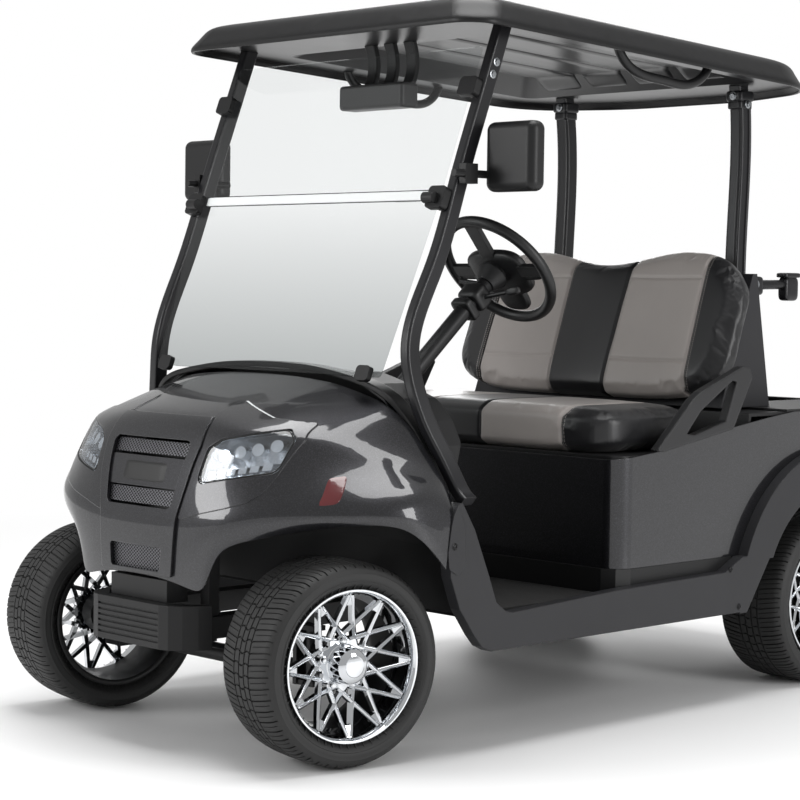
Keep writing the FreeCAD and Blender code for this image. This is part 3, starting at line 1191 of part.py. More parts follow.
def tyre(name, side, x, y, steered):
    """A hollow tyre: one closed profile turned about the wheel's axis."""
    body = doc.addObject("PartDesign::Body", name + "_body")
    outline = [
        ("rim_half - 11", "bead_radius + 2.5"), ("rim_half - 10.5", "rim_lip + 3"), ("tyre_width / 2 - 3", "rim_lip + 11"),
        ("tyre_width / 2", "tyre_radius - 38"), ("tyre_width / 2 - 1", "tyre_radius - 24"),
        ("tyre_width / 2 - 7", "tyre_radius - 12"), ("tyre_width / 2 - 18", "tyre_radius - 4"),
        ("tyre_width / 2 - 40", "tyre_radius - 0.8"), ("0", "tyre_radius")]
    inner = [
        ("0", "tyre_radius - tyre_wall - 2"), ("tyre_width / 2 - 26", "tyre_radius - tyre_wall - 6"),
        ("tyre_width / 2 - 14", "tyre_radius - 30"), ("tyre_width / 2 - 14", "rim_lip + 14"),
        ("rim_half - 22", "bead_radius + 2.5")]
    texts = outline + inner[:1]
    left = [("-(%s)" % across, up) for across, up in reversed(outline[:-1])]
    loop = outline + left + [("-(%s)" % across, up) for across, up in reversed(inner[1:])] + inner
    profile = draw(body, name + "_profile", "XY_Plane", loop)
    turned = body.newObject("PartDesign::Revolution", name + "_turned")
    turned.Profile = profile
    turned.ReferenceAxis = (profile, ["H_Axis"])
    turned.Angle = 360
    body.Tip = turned
    item = node(body, name)
    angle = "steer_rest" if steered else "0"
    return place(item, x, y, "tyre_radius", Vector(0, 0, 1), angle if side > 0 else angle + " + 180")


king = "front_track / 2 - kingpin_inset"
corners = [
    ("front_left", 1, king + " + kingpin_inset * cos(steer_rest * 1 deg)",
     "front_axle_y + kingpin_inset * sin(steer_rest * 1 deg)", True),
    ("front_right", -1, "-(" + king + ") - kingpin_inset * cos(steer_rest * 1 deg)",
     "front_axle_y - kingpin_inset * sin(steer_rest * 1 deg)", True),
    ("rear_left", 1, "rear_track / 2", "front_axle_y + wheelbase", False),
    ("rear_right", -1, "-rear_track / 2", "front_axle_y + wheelbase", False),
]
for corner_name, side, x, y, steered in corners:
    wheel("wheel_" + corner_name, side, x, y, steered)
    tyre("tyre_" + corner_name, side, x, y, steered)

doc.recompute()
for item in doc.Objects:
    if "Invalid" in item.State or "Error" in item.State:
        raise RuntimeError("%s is %s: %s" % (item.Name, item.State, item.getStatusString()))
os.makedirs("parts", exist_ok=True)
for item in nodes:
    if item.Shape.isNull() or not item.Shape.isValid():
        raise RuntimeError("bad shape of " + item.Label)
    item.Shape.exportStep("parts/%s.step" % item.Label)
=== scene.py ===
"""Looks of a two-seat golf cart, in Blender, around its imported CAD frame.

Metres throughout. The cart faces -Y, its left side is +X, and it stands on the floor at z = 0.
"""

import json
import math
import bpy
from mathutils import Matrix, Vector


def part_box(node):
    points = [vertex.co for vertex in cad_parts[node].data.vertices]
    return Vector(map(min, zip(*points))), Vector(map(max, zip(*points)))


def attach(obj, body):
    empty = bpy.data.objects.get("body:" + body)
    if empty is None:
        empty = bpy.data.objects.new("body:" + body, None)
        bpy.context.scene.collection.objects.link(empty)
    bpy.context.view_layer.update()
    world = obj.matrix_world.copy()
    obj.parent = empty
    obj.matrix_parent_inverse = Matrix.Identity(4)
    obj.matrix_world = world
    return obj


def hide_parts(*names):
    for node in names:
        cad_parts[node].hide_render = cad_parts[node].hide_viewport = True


bl_info = {
    "name": "Golf Cart",
    "version": (1, 0, 0),
    "blender": (4, 5, 0),
    "location": "View3D > Sidebar > Golf Cart",
    "description": "Builds the finishes and modelled pieces of a two-seat golf cart",
    "category": "Object",
}

import bmesh
import bpy
import numpy as np
from mathutils import Matrix, Vector, geometry
from mathutils.bvhtree import BVHTree

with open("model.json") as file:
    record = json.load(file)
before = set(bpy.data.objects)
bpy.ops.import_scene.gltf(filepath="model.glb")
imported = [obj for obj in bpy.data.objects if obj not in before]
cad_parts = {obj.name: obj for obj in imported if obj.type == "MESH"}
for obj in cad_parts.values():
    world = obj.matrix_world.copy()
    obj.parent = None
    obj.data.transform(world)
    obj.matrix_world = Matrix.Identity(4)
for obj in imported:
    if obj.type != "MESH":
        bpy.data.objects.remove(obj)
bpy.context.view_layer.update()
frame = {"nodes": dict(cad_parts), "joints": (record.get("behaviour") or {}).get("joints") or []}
MM = 0.001
# Foot of the windscreen and the seam between its panes, in metres above the floor
PANE_LOW = 0.85
PANE_SEAM = 1.248


# Places read from the frame

def joint_at(name):
    """Position of a joint, and its axis as a unit vector."""
    joint = [item for item in frame["joints"] if item["name"] == name][0]
    axis = np.array(joint["axis"], float)
    return np.array(joint["pos_m"], float), axis / np.linalg.norm(axis)


# Materials

def linear(hexcode):
    """An sRGB hex colour as linear values with alpha."""
    parts = [int(hexcode[i:i + 2], 16) / 255 for i in (1, 3, 5)]
    return tuple(c / 12.92 if c <= 0.04045 else ((c + 0.055) / 1.055) ** 2.4 for c in parts) + (1.0,)


def add_node(tree, kind, settings=None, links=None):
    """Add a shader node by its kind; settings go to its properties or unlinked sockets, and links join its sockets
    to other sockets or to the first output of a node."""
    node = tree.nodes.new("ShaderNode" + kind)
    for key, value in (settings or {}).items():
        if isinstance(key, str) and hasattr(node, key):
            setattr(node, key, value)
        else:
            node.inputs[key].default_value = value
    for key, source in (links or {}).items():
        tree.links.new(getattr(source, "outputs", [source])[0], node.inputs[key])
    return node


def new_material(name):
    """An empty node material, its tree, and the place on the object as texture coordinates."""
    made = bpy.data.materials.new(name)
    made.use_nodes = True
    tree = made.node_tree
    tree.nodes.clear()
    return made, tree, add_node(tree, "TexCoord").outputs["Object"]


def cycles_per_metre(size_mm):
    """Texture scale whose features are about this many millimetres apart."""
    return 1000.0 / size_mm


def surface(name, colour, second, roughness, metallic=0.0, cloud_mm=180, grain_mm=1.2, grain_depth_mm=0.05,
            edge_mm=0.0, settings=None, rough_swing=0.08):
    """A solid finish: two close colours in soft clouds, a fine grain, and edges rounded by a small radius."""
    made, tree, where = new_material(name)
    clouds = add_node(tree, "TexNoise", {"Scale": cycles_per_metre(cloud_mm), "Detail": 4.0}, {"Vector": where})
    tint = add_node(tree, "Mix", {"data_type": "RGBA", 6: linear(colour), 7: linear(second)}, {0: clouds})
    rough = add_node(tree, "MapRange", {"To Min": roughness - rough_swing / 2, "To Max": roughness + rough_swing / 2},
                     {"Value": clouds})
    grain = add_node(tree, "TexNoise", {"Scale": cycles_per_metre(grain_mm), "Detail": 2.0}, {"Vector": where})
    bump = add_node(tree, "Bump", {"Strength": 0.6, "Distance": grain_depth_mm * MM}, {"Height": grain})
    if edge_mm:
        edge = add_node(tree, "Bevel", {"samples": 4, "Radius": edge_mm * MM})
        tree.links.new(edge.outputs["Normal"], bump.inputs["Normal"])
    shader = add_node(tree, "BsdfPrincipled", {"Metallic": metallic, **(settings or {})},
                      {"Base Color": tint.outputs[2], "Roughness": rough, "Normal": bump})
    add_node(tree, "OutputMaterial", links={"Surface": shader})
    return made


# Radius that the paint's edges seem to have
PAINT_EDGE_MM = 2.5


def metallic_paint(dark, bright_flake):
    """Graphite metallic basecoat under clearcoat: fine bright flakes in a dark base, with a sharp gloss over it."""
    made, tree, where = new_material("metallic_basecoat_clearcoat")
    # Real flakes are 0.05 mm; 1.2 mm cells are the finest that still sparkle at this distance
    flakes = add_node(tree, "TexVoronoi", {"Scale": cycles_per_metre(1.2)}, {"Vector": where})
    bright = add_node(tree, "MapRange", {"From Min": 0.55, "From Max": 1.0, "To Min": 0.0, "To Max": 0.55},
                      {"Value": flakes.outputs["Color"]})
    tint = add_node(tree, "Mix", {"data_type": "RGBA", 6: tuple(dark), 7: tuple(bright_flake)}, {0: bright})
    edge = add_node(tree, "Bevel", {"samples": 4, "Radius": PAINT_EDGE_MM * MM})
    shader = add_node(tree, "BsdfPrincipled",
                      {"Metallic": 0.72, "Roughness": 0.34, "Coat Weight": 1.0, "Coat Roughness": 0.03},
                      {"Base Color": tint.outputs[2], "Normal": edge, "Coat Normal": edge})
    add_node(tree, "OutputMaterial", links={"Surface": shader})
    return made


def clear_sheet(name, tint, gloss, straight=0.04, painted_foot_shade=None):
    """Clear moulded plastic: almost all light passes straight on, and each face mirrors the share that is seen
    straight on plus a gloss times the fifth power of one minus the slant's cosine. A painted shade at the foot
    fades up to the tint over the lower pane's height, so the sheet greys towards its foot."""
    made, tree, where = new_material(name)
    height = add_node(tree, "SeparateXYZ", links={"Vector": where}).outputs["Z"]
    share = add_node(tree, "MapRange", {"From Min": PANE_LOW, "From Max": PANE_SEAM}, {"Value": height})
    # Painted shade: when a foot shade is given, the pane's colour greys from the tint down to it at the foot
    shade = add_node(tree, "Mix", {"data_type": "RGBA", 6: linear(painted_foot_shade or tint), 7: linear(tint)}, {0: share})
    through = add_node(tree, "BsdfTransparent", links={"Color": shade.outputs[2]})
    mirror = add_node(tree, "BsdfGlossy", {"Roughness": 0.02, "Color": linear("#FFFFFF")})
    slant = add_node(tree, "LayerWeight", {"Blend": 0.5}).outputs["Facing"]
    fifth = add_node(tree, "Math", {"operation": "POWER", 1: 5.0}, {0: slant})
    amount = add_node(tree, "Math", {"operation": "MULTIPLY_ADD", 1: gloss, 2: straight}, {0: fifth})
    mixed = add_node(tree, "MixShader", links={0: amount, 1: through, 2: mirror})
    add_node(tree, "OutputMaterial", links={"Surface": mixed})
    return made


def chrome_plate(name="bright_chrome_plate", roughness=0.05, colour="#E4E6E8"):
    """Polished chrome plate: a pale mirror with faint polishing haze."""
    return surface(name, colour, "#C9CCD0", roughness, 1.0, 60, 2.0, 0.004, 0.0, None, 0.03)


# Seams at each side of the grey panels, from the middle, and the stitch rows outside each outer seam
PANEL_EDGES_MM = (98, 372)
STITCH_ROWS_MM = (5, 12)
STITCH_MM = 6


def sewn_vinyl():
    """Marine vinyl over foam: soft satin with fine pores, black, with warm grey panels between the seam lines of the
    sewing map, and a double row of stitches beside each outer seam."""
    made, tree, where = new_material("sewn_marine_vinyl")
    parts = add_node(tree, "SeparateXYZ", links={"Vector": add_node(tree, "UVMap", {"uv_map": "sewing"})})
    across = add_node(tree, "Math", {"operation": "ABSOLUTE"}, {0: parts.outputs["X"]})
    beyond = add_node(tree, "Math", {"operation": "GREATER_THAN", 1: PANEL_EDGES_MM[0] * MM}, {0: across})
    before = add_node(tree, "Math", {"operation": "LESS_THAN", 1: PANEL_EDGES_MM[1] * MM}, {0: across})
    panel = add_node(tree, "Math", {"operation": "MULTIPLY"}, {0: beyond, 1: before})
    clouds = add_node(tree, "TexNoise", {"Scale": cycles_per_metre(120), "Detail": 3.0}, {"Vector": where})
    black = add_node(tree, "Mix", {"data_type": "RGBA", 6: linear("#101011"), 7: linear("#17171A")}, {0: clouds})
    grey = add_node(tree, "Mix", {"data_type": "RGBA", 6: linear("#A8A19D"), 7: linear("#9D9793")}, {0: clouds})
    cover = add_node(tree, "Mix", {"data_type": "RGBA"}, {0: panel, 6: black.outputs[2], 7: grey.outputs[2]})
    # Real thread is 0.6 mm thick; drawn 1.8 mm wide so that it shows
    rows = [add_node(tree, "Math", {"operation": "COMPARE", 1: (PANEL_EDGES_MM[1] + row_mm) * MM, 2: 0.9 * MM},
                     {0: across}) for row_mm in STITCH_ROWS_MM]
    row = add_node(tree, "Math", {"operation": "MAXIMUM"}, {0: rows[0], 1: rows[1]})
    count = add_node(tree, "Math", {"operation": "MULTIPLY", 1: cycles_per_metre(STITCH_MM)},
                     {0: parts.outputs["Y"]})
    phase = add_node(tree, "Math", {"operation": "FRACT"}, {0: count})
    drawn = add_node(tree, "Math", {"operation": "LESS_THAN", 1: 0.68}, {0: phase})
    stitch = add_node(tree, "Math", {"operation": "MULTIPLY"}, {0: row, 1: drawn})
    tint = add_node(tree, "Mix", {"data_type": "RGBA", 7: linear("#8D8884")}, {0: stitch, 6: cover.outputs[2]})
    # Pores are about 0.8 mm apart; drawn at 1.8 mm so that they show
    pores = add_node(tree, "TexVoronoi", {"Scale": cycles_per_metre(1.8)}, {"Vector": where})
    bump = add_node(tree, "Bump", {"Strength": 0.35, "Distance": 0.12 * MM}, {"Height": pores})
    shader = add_node(tree, "BsdfPrincipled", {"Roughness": 0.38, "Sheen Weight": 0.08},
                      {"Base Color": tint.outputs[2], "Normal": bump})
    add_node(tree, "OutputMaterial", links={"Surface": shader})
    return made


def woven_mesh(name, bar_painted_highlight, hole_painted_shade, pitch_mm, wire_share):
    """Moulded mesh: diamonds between two slanting sets of bars; the raised bars carry a silver grey painted
    highlight, and the holes a black painted shade.
    """
    made, tree, where = new_material(name)
    parts = add_node(tree, "SeparateXYZ", links={"Vector": where})
    bars = []
    for way in (1.0, -1.0):
        slanted = add_node(tree, "Math", {"operation": "MULTIPLY_ADD", 1: way * 1.35},
                           {0: parts.outputs["Z"], 2: parts.outputs["X"]})
        count = add_node(tree, "Math", {"operation": "MULTIPLY", 1: cycles_per_metre(pitch_mm)}, {0: slanted})
        phase = add_node(tree, "Math", {"operation": "PINGPONG", 1: 0.5}, {0: count})
        bars.append(add_node(tree, "MapRange", {"From Min": wire_share, "From Max": wire_share * 0.4},
                             {"Value": phase}))
    bar = add_node(tree, "Math", {"operation": "MAXIMUM"}, {0: bars[0], 1: bars[1]})
    # Painted highlight: the bars are silver grey; painted shade: the holes are black
    tint = add_node(tree, "Mix", {"data_type": "RGBA", 6: linear(hole_painted_shade), 7: linear(bar_painted_highlight)}, {0: bar})
    bump = add_node(tree, "Bump", {"Strength": 0.8, "Distance": 2.0 * MM}, {"Height": bar})
    shader = add_node(tree, "BsdfPrincipled", {"Roughness": 0.34, "Metallic": 0.5},
                      {"Base Color": tint.outputs[2], "Normal": bump})
    add_node(tree, "OutputMaterial", links={"Surface": shader})
    return made


# A wave texture's bands repeat every 0.314 m over its scale: this one puts the ribs 14 mm apart
RIB_WAVE_SCALE = 22.4


def ribbed_mat():
    """Ribbed rubber mat: rounded ribs along the cart 14 mm apart, with a grey on their crowns that is partly dust and
    partly painted highlight, and painted shade in the grooves.
    """
    made, tree, where = new_material("ribbed_rubber_mat")
    ribs = add_node(tree, "TexWave", {"wave_type": "BANDS", "bands_direction": "X", "Scale": RIB_WAVE_SCALE},
                    {"Vector": where}).outputs["Fac"]
    dust = add_node(tree, "TexNoise", {"Scale": cycles_per_metre(60), "Detail": 5.0}, {"Vector": where})
    # Painted highlight on the rib crowns and painted shade in the grooves, broken up by dust
    shade = add_node(tree, "Math", {"operation": "MULTIPLY"}, {0: ribs, 1: dust})
    tint = add_node(tree, "Mix", {"data_type": "RGBA", 6: linear("#0C0C0C"), 7: linear("#2A2928")}, {0: shade})
    bump = add_node(tree, "Bump", {"Strength": 0.9, "Distance": 2.5 * MM}, {"Height": ribs})
    shader = add_node(tree, "BsdfPrincipled", {"Roughness": 0.72}, {"Base Color": tint.outputs[2], "Normal": bump})
    add_node(tree, "OutputMaterial", links={"Surface": shader})
    return made


FINISHES = {}


def make_finishes(colours):
    """Every finish of the cart, by the word that pieces use for it."""
    FINISHES.update({
        # Basecoat and clearcoat, sprayed: a dark sparkle under a sharp gloss
        "paint": metallic_paint(colours.paint, colours.flake),
        # ABS, moulded in a grained tool: an even black satin
        "moulding": surface("grained_abs_moulding", "#101011", "#161617", 0.42, 0, 160, 1.4, 0.12, 2.5,
                            {"Specular IOR Level": 0.35}),
        # The same plastic, moulded hollow: rounder edges catch a broad light
        "restraint": surface("grained_moulded_tube", "#19191A", "#212123", 0.44, 0, 160, 1.4, 0.12, 9.0),
        # Polypropylene, moulded and grained: greyer and duller than the rest
        "sill": surface("grained_grey_moulding", "#28282B", "#222224", 0.46, 0, 160, 1.4, 0.14, 4.0,
                        {"Specular IOR Level": 0.35}),
        # Polyethylene, rotomoulded: near black with soft waves of light
        "roof": surface("satin_rotomoulded_roof", "#0B0B0C", "#101011", 0.36, 0, 240, 2.2, 0.16, 5.0,
                        {"Specular IOR Level": 0.32}),
        # Its smooth lower shell: a smoother shine than the roof's top
        "liner": surface("satin_roof_liner", "#0E0E0F", "#141416", 0.3, 0, 240, 2.2, 0.1, 4.0),
        # Steel tube, electrocoated: thin black with a hint of metal
        "steel": surface("black_electrocoated_steel", "#111112", "#18181A", 0.42, 0.2, 120, 1.5, 0.05, 2.0),
        # Aluminium tube, powder coated: smooth dark coat with clean lights along it
        "strut": surface("dark_powder_coated_strut", "#151517", "#1B1B1E", 0.3, 0.15, 160, 1.2, 0.04, 3.0),
        # Acrylic, cast in sheet: nearly clear, with a painted shade that greys it towards its foot
        "acrylic": clear_sheet("clear_acrylic_sheet", "#F9FAFA", 0.85, 0.03, "#DADCDC"),
        # Acrylic, extruded and frosted: a white bar where the panes meet
        "seam_bar": surface("frosted_acrylic_bar", "#F0F2F2", "#E6E9E9", 0.16, 0, 200, 2.0, 0.02, 0.0),
        # Polycarbonate, moulded and polished: clear with a cool glint
        "lens": clear_sheet("clear_polycarbonate_lens", "#FBFDFF", 0.9, 0.06),
        # Moulded plastic with a vacuum coat of aluminium: a hazy silver
        "lamp_silver": surface("silvered_lamp_bowl", "#D9DCDF", "#B9BCC0", 0.24, 0.85, 30, 3.0, 0.2, 1.5),
        "lamp_bright": chrome_plate("vacuum_metallised_reflector", 0.09, "#F2F4F6"),
        # Moulded mesh with a painted highlight on its bars and a painted shade in its holes
        "mesh": woven_mesh("mesh_painted_highlight_and_shade", "#85858A", "#060606", 11.0, 0.17),
        # Acrylic, moulded red: deep colour under a wet gloss
        "red": surface("red_acrylic_lens", "#8E0D0D", "#A01414", 0.12, 0, 60, 6.0, 0.2, 3.0,
                       {"Coat Weight": 0.6}),
        # The same, darker: a quiet red that only shows from near
        "marker": surface("dark_red_marker_lens", "#4A0D10", "#5C1216", 0.16, 0, 30, 4.0, 0.3, 0.0,
                          {"Coat Weight": 0.8}),
        "mat": ribbed_mat(),
        # Iron, cast and painted: a rough, uneven black
        "iron": surface("black_painted_casting", "#1A1A1B", "#242425", 0.5, 0.4, 60, 2.5, 0.25, 2.0),
        # Spring steel, rolled and oiled: dark metal with dull lights
        "spring": surface("dark_spring_steel", "#202122", "#2C2D2F", 0.4, 0.8, 70, 2.0, 0.1, 1.0),
        # Steel, zinc plated: a pale grey metal, slightly cloudy
        "zinc": surface("zinc_plated_fastener", "#A9ACAF", "#8D9093", 0.28, 0.95, 12, 1.0, 0.05, 0.0),
        # Steel, black oxide: dark metal that still glints
        "black_bolt": surface("black_oxide_fastener", "#141415", "#202022", 0.36, 0.6, 12, 1.0, 0.05, 0.0),
        "chrome": chrome_plate(),
        # Filled rubber, moulded and cured: a dry dark grey
        "tyre": surface("filled_rubber_tread", "#1A1A1A", "#222222", 0.62, 0, 70, 1.2, 0.12, 0.0),
        # Soft urethane, moulded: black that blurs what it mirrors
        "grip": surface("soft_moulded_grip", "#0E0E0F", "#151516", 0.42, 0, 90, 1.0, 0.12, 3.0),
        # Rubber, extruded: the deepest black of the cart
        "gasket": surface("black_rubber_gasket", "#080808", "#0E0E0E", 0.5, 0, 30, 1.0, 0.05, 0.0),
        # Aluminium, cast and painted: the dark inside of the wheel
        "wheel_back": surface("black_painted_wheel_back", "#0B0B0C", "#121213", 0.4, 0.2, 60, 2.0, 0.05, 0.0),
        "vinyl": sewn_vinyl(),
        # Marine vinyl without seams, for the plain forms under the pads
        "vinyl_black": surface("black_marine_vinyl", "#111112", "#18181A", 0.36, 0, 110, 2.6, 0.22, 0.0),
    })


NODE_FINISH = {
    "paint": ["front_cowl", "grille_mask", "badge_bar", "rear_body"],
    "moulding": ["front_bumper", "front_valance", "cowl_supports", "floor_pan", "toe_board", "pod_skirt", "seat_base",
                 "rear_deck", "bag_well", "rear_bumper", "cowl_brow", "dashboard",
                 "windscreen_clips", "mirrors", "overhead_console", "roof_handles", "battery_pack"],
    "restraint": ["hip_restraints"],
    "sill": ["sills", "back_shell"],
    "roof": ["roof"],
    "liner": ["roof_liner"],
    "steel": ["chassis_frame", "pedals", "steering_column", "bag_bar"],
    "strut": ["front_struts", "rear_struts"],
    "acrylic": ["windscreen"],
    "lens": ["headlamp_lenses"],
    "lamp_silver": ["headlamp_bowls"],
    "lamp_bright": ["headlamp_lights"],
    "mesh": ["grille_mesh"],
    "red": ["tail_lamps"],
    "mat": ["floor_mat"],
    "iron": ["front_axle", "rear_axle", "knuckle_left", "knuckle_right", "steering_rack"],
    "spring": ["leaf_springs"],
    "chrome": ["wheel_front_left", "wheel_front_right", "wheel_rear_left", "wheel_rear_right"],
    "tyre": ["tyre_front_left", "tyre_front_right", "tyre_rear_left", "tyre_rear_right"],
    "grip": ["steering_wheel"],
    "vinyl_black": ["seat_cushion", "backrest"],
}


def finish_nodes():
    """Give every CAD node the finish of its real piece."""
    for finish, names in NODE_FINISH.items():
        for name in names:
            shown = frame["nodes"][name]
            for slot in shown.material_slots:
                slot.material = FINISHES[finish]


# Surfaces

def put_mesh(name, points, faces, finishes, face_finish=None):
    """A mesh object from arrays of points and quads, with its finishes and one finish number for each face."""
    mesh = bpy.data.meshes.new(name)
    mesh.from_pydata(np.asarray(points, float).reshape(-1, 3), [], np.asarray(faces).tolist())
    shown = bpy.data.objects.new(name, mesh)
    bpy.context.scene.collection.objects.link(shown)
    for finish in finishes:
        mesh.materials.append(FINISHES[finish])
    if face_finish is not None:
        mesh.polygons.foreach_set("material_index", np.asarray(face_finish, np.int32))
    mesh.polygons.foreach_set("use_smooth", np.ones(len(mesh.polygons), bool))
    mesh.update()
    return shown


def grid_faces(rows, columns, close_rows=False, close_columns=False):
    """Quads of a grid of rows by columns; a closed way joins its last line to its first."""
    row = np.arange(rows if close_rows else rows - 1)[:, None]
    column = np.arange(columns if close_columns else columns - 1)[None, :]
    next_row, next_column = (row + 1) % rows, (column + 1) % columns
    quads = np.stack([row * columns + column, next_row * columns + column,
                      next_row * columns + next_column, row * columns + next_column], -1)
    return quads.reshape(-1, 4)


def turned(profile, count):
    """Rows of points of a (along, radius) profile turned about +X: angle by angle, point by point."""
    profile = np.asarray(profile, float)
    angle = np.linspace(0, 2 * np.pi, count, endpoint=False)[:, None]
    along = np.broadcast_to(profile[:, 0], (count, len(profile)))
    return np.stack([along, profile[:, 1] * np.cos(angle), profile[:, 1] * np.sin(angle)], -1)


def sharp_edges(shown, degrees):
    """Keep edges sharp where faces meet at more than an angle."""
    shown.data.set_sharp_from_angle(angle=math.radians(degrees))


def outward(shown, reach=1e-6):
    """Join the points within a reach of each other, so poles are closed, and turn every face outward."""
    work = bmesh.new()
    work.from_mesh(shown.data)
    bmesh.ops.remove_doubles(work, verts=work.verts[:], dist=reach)
    bmesh.ops.recalc_face_normals(work, faces=work.faces[:])
    work.to_mesh(shown.data)
    work.free()
    return shown


def joined(name, parts, finishes):
    """One object from several (points, faces, finish number) parts."""
    points, faces, numbers, start = [], [], [], 0
    for part_points, part_faces, number in parts:
        part_points = np.asarray(part_points, float).reshape(-1, 3)
        points.append(part_points)
        faces.append(np.asarray(part_faces) + start)
        numbers.append(np.full(len(part_faces), number))
        start += len(part_points)
    return put_mesh(name, np.concatenate(points), np.concatenate(faces), finishes, np.concatenate(numbers))


# Small forms that other pieces are made of

def swept(path, radius, sides=14, closed=False):
    """A round tube along a path: at each point a circle at right angles to it, carried on without twist. An open
    tube ends in its path's end points."""
    path = np.asarray(path, float)
    way = np.roll(path, -1, 0) - np.roll(path, 1, 0) if closed else np.gradient(path, axis=0)
    way = way / np.linalg.norm(way, axis=1, keepdims=True)
    turn = np.linspace(0, 2 * np.pi, sides, endpoint=False)[:, None]
    side = np.cross(way[0], (0.31, 0.22, 0.92))
    rows = []
    for spot, along in zip(path, way):
        side = side - along * (side @ along)
        side = side / np.linalg.norm(side)
        rows.append(spot + radius * (side * np.cos(turn) + np.cross(along, side) * np.sin(turn)))
    if not closed:
        rows = [np.tile(path[0], (sides, 1)), *rows, np.tile(path[-1], (sides, 1))]
    return np.array(rows), grid_faces(len(rows), sides, closed, True)


def aimed(points, spot, axis):
    """Points about +X moved to a spot with +X turned to an axis."""
    axis = np.asarray(axis, float) / np.linalg.norm(axis)
    side = np.cross(axis, (0, 0, 1.0) if abs(axis[2]) < 0.9 else (0, 1.0, 0))
    side = side / np.linalg.norm(side)
    return np.asarray(spot) + np.asarray(points, float).reshape(-1, 3) @ np.stack([axis, side, np.cross(axis, side)])


def bolt(spot, axis, radius_mm, number):
    """A hexagonal bolt head with a chamfered crown on a round washer."""
    r = radius_mm * MM
    washer = [(-0.4, 0), (-0.4, 1.45), (0.12, 1.45), (0.18, 1.35), (0.18, 0)]
    washer = turned([(height * r, reach * r) for height, reach in washer], 28)
    head = [(0.1, 0), (0.1, 1), (0.68, 1), (0.8, 0.84), (0.82, 0.5), (0.74, 0)]
    head = turned([(height * r, reach * r) for height, reach in head], 6)
    return [(aimed(washer, spot, axis), grid_faces(28, 5, True), number),
            (aimed(head, spot, axis), grid_faces(6, 6, True), number)]


def rounded(spot, half_mm, number, power=5.0, axis=(1, 0, 0), count=16):
    """A rounded block of given half sizes about a spot, its first side along an axis."""
    parts, faces = pillow(*(size * MM for size in half_mm), power=power, count=count)
    return [(aimed(points, spot, axis), faces, number) for points in parts]


def surface_tree(*nodes):
    """A tree of CAD nodes' faces that rays can meet."""
    work = bmesh.new()
    for name in nodes:
        work.from_mesh(frame["nodes"][name].data)
    tree = BVHTree.FromBMesh(work)
    work.free()
    return tree


def met(tree, start, toward):
    """Where a ray from a point first meets the tree's faces."""
    place = tree.ray_cast(Vector(start), Vector(toward).normalized())[0]
    if place is None:
        raise RuntimeError("no surface in front of %s" % (tuple(start),))
    return np.array(place)


def laid_plate(tree, corners, toward, lift_mm, number, power=8.0, count=(16, 16)):
    """A plate that lies on CAD faces: a grid inside four corners, squared by a power so that its corners are round,
    cast onto the faces and lifted; the lift falls to below zero at the border as the twelfth power of the share."""
    first, second = np.meshgrid(np.linspace(-1, 1, count[0]), np.linspace(-1, 1, count[1]), indexing="ij")
    most = np.maximum(np.abs(first), np.abs(second))
    size = (np.abs(first) ** power + np.abs(second) ** power) ** (1 / power)
    scale = np.where(size > 0, most / np.maximum(size, 1e-9), 1)
    across, up = (first * scale + 1) / 2, (second * scale + 1) / 2
    corners = np.asarray(corners, float)
    toward = np.asarray(toward, float) / np.linalg.norm(toward)
    spots = (corners[0] * ((1 - across) * (1 - up))[..., None] + corners[1] * (across * (1 - up))[..., None] +
             corners[2] * (across * up)[..., None] + corners[3] * ((1 - across) * up)[..., None])
    hits = np.array([met(tree, spot, toward) for spot in spots.reshape(-1, 3)]).reshape(spots.shape)
    edge = (most ** 12)[..., None]
    top = hits - toward * MM * (lift_mm * (1 - edge) - 0.6 * edge)
    low = hits + toward * MM * (1.6 * (1 - edge) + 0.6 * edge)
    faces = grid_faces(*count)
    return [(top, faces, number), (low, faces[:, ::-1], number)]


def upright(left, right, place, low, high):
    """Corners of an upright rectangle across the cart at a place along it."""
    return [(left, place, low), (right, place, low), (right, place, high), (left, place, high)]


def fitted(name, parts, finishes, body="root", sharp=35):
    """One closed piece from parts, with the finishes given, riding on a body."""
    made = joined(name, parts, finishes)
    sharp_edges(outward(made), sharp)
    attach(made, body)


# Wheels and tyres, first about +X at the origin in millimetres, then set on their joint

CORNERS = {"front_left": 1, "front_right": -1, "rear_left": 1, "rear_right": -1}


def on_axle(corner, points):
    """Millimetre points about +X, with +X outward, moved to a wheel's joint."""
    side = CORNERS[corner]
    place, axis = joint_at("wheel_" + corner + "_spin")
    out = axis * side
    up = np.array([0, 0, 1.0])
    basis = np.stack([out, np.cross(up, out), up])
    return place + np.asarray(points, float).reshape(-1, 3) * MM @ basis


# A 215/35-12 tyre, its tread pitches and its grooves round the tread
TYRE_RADIUS = 227.5
TREAD_PITCHES = 55
RIB_EDGES = (-30, -10, 10, 30)
GROOVE_DEPTH = 4.5


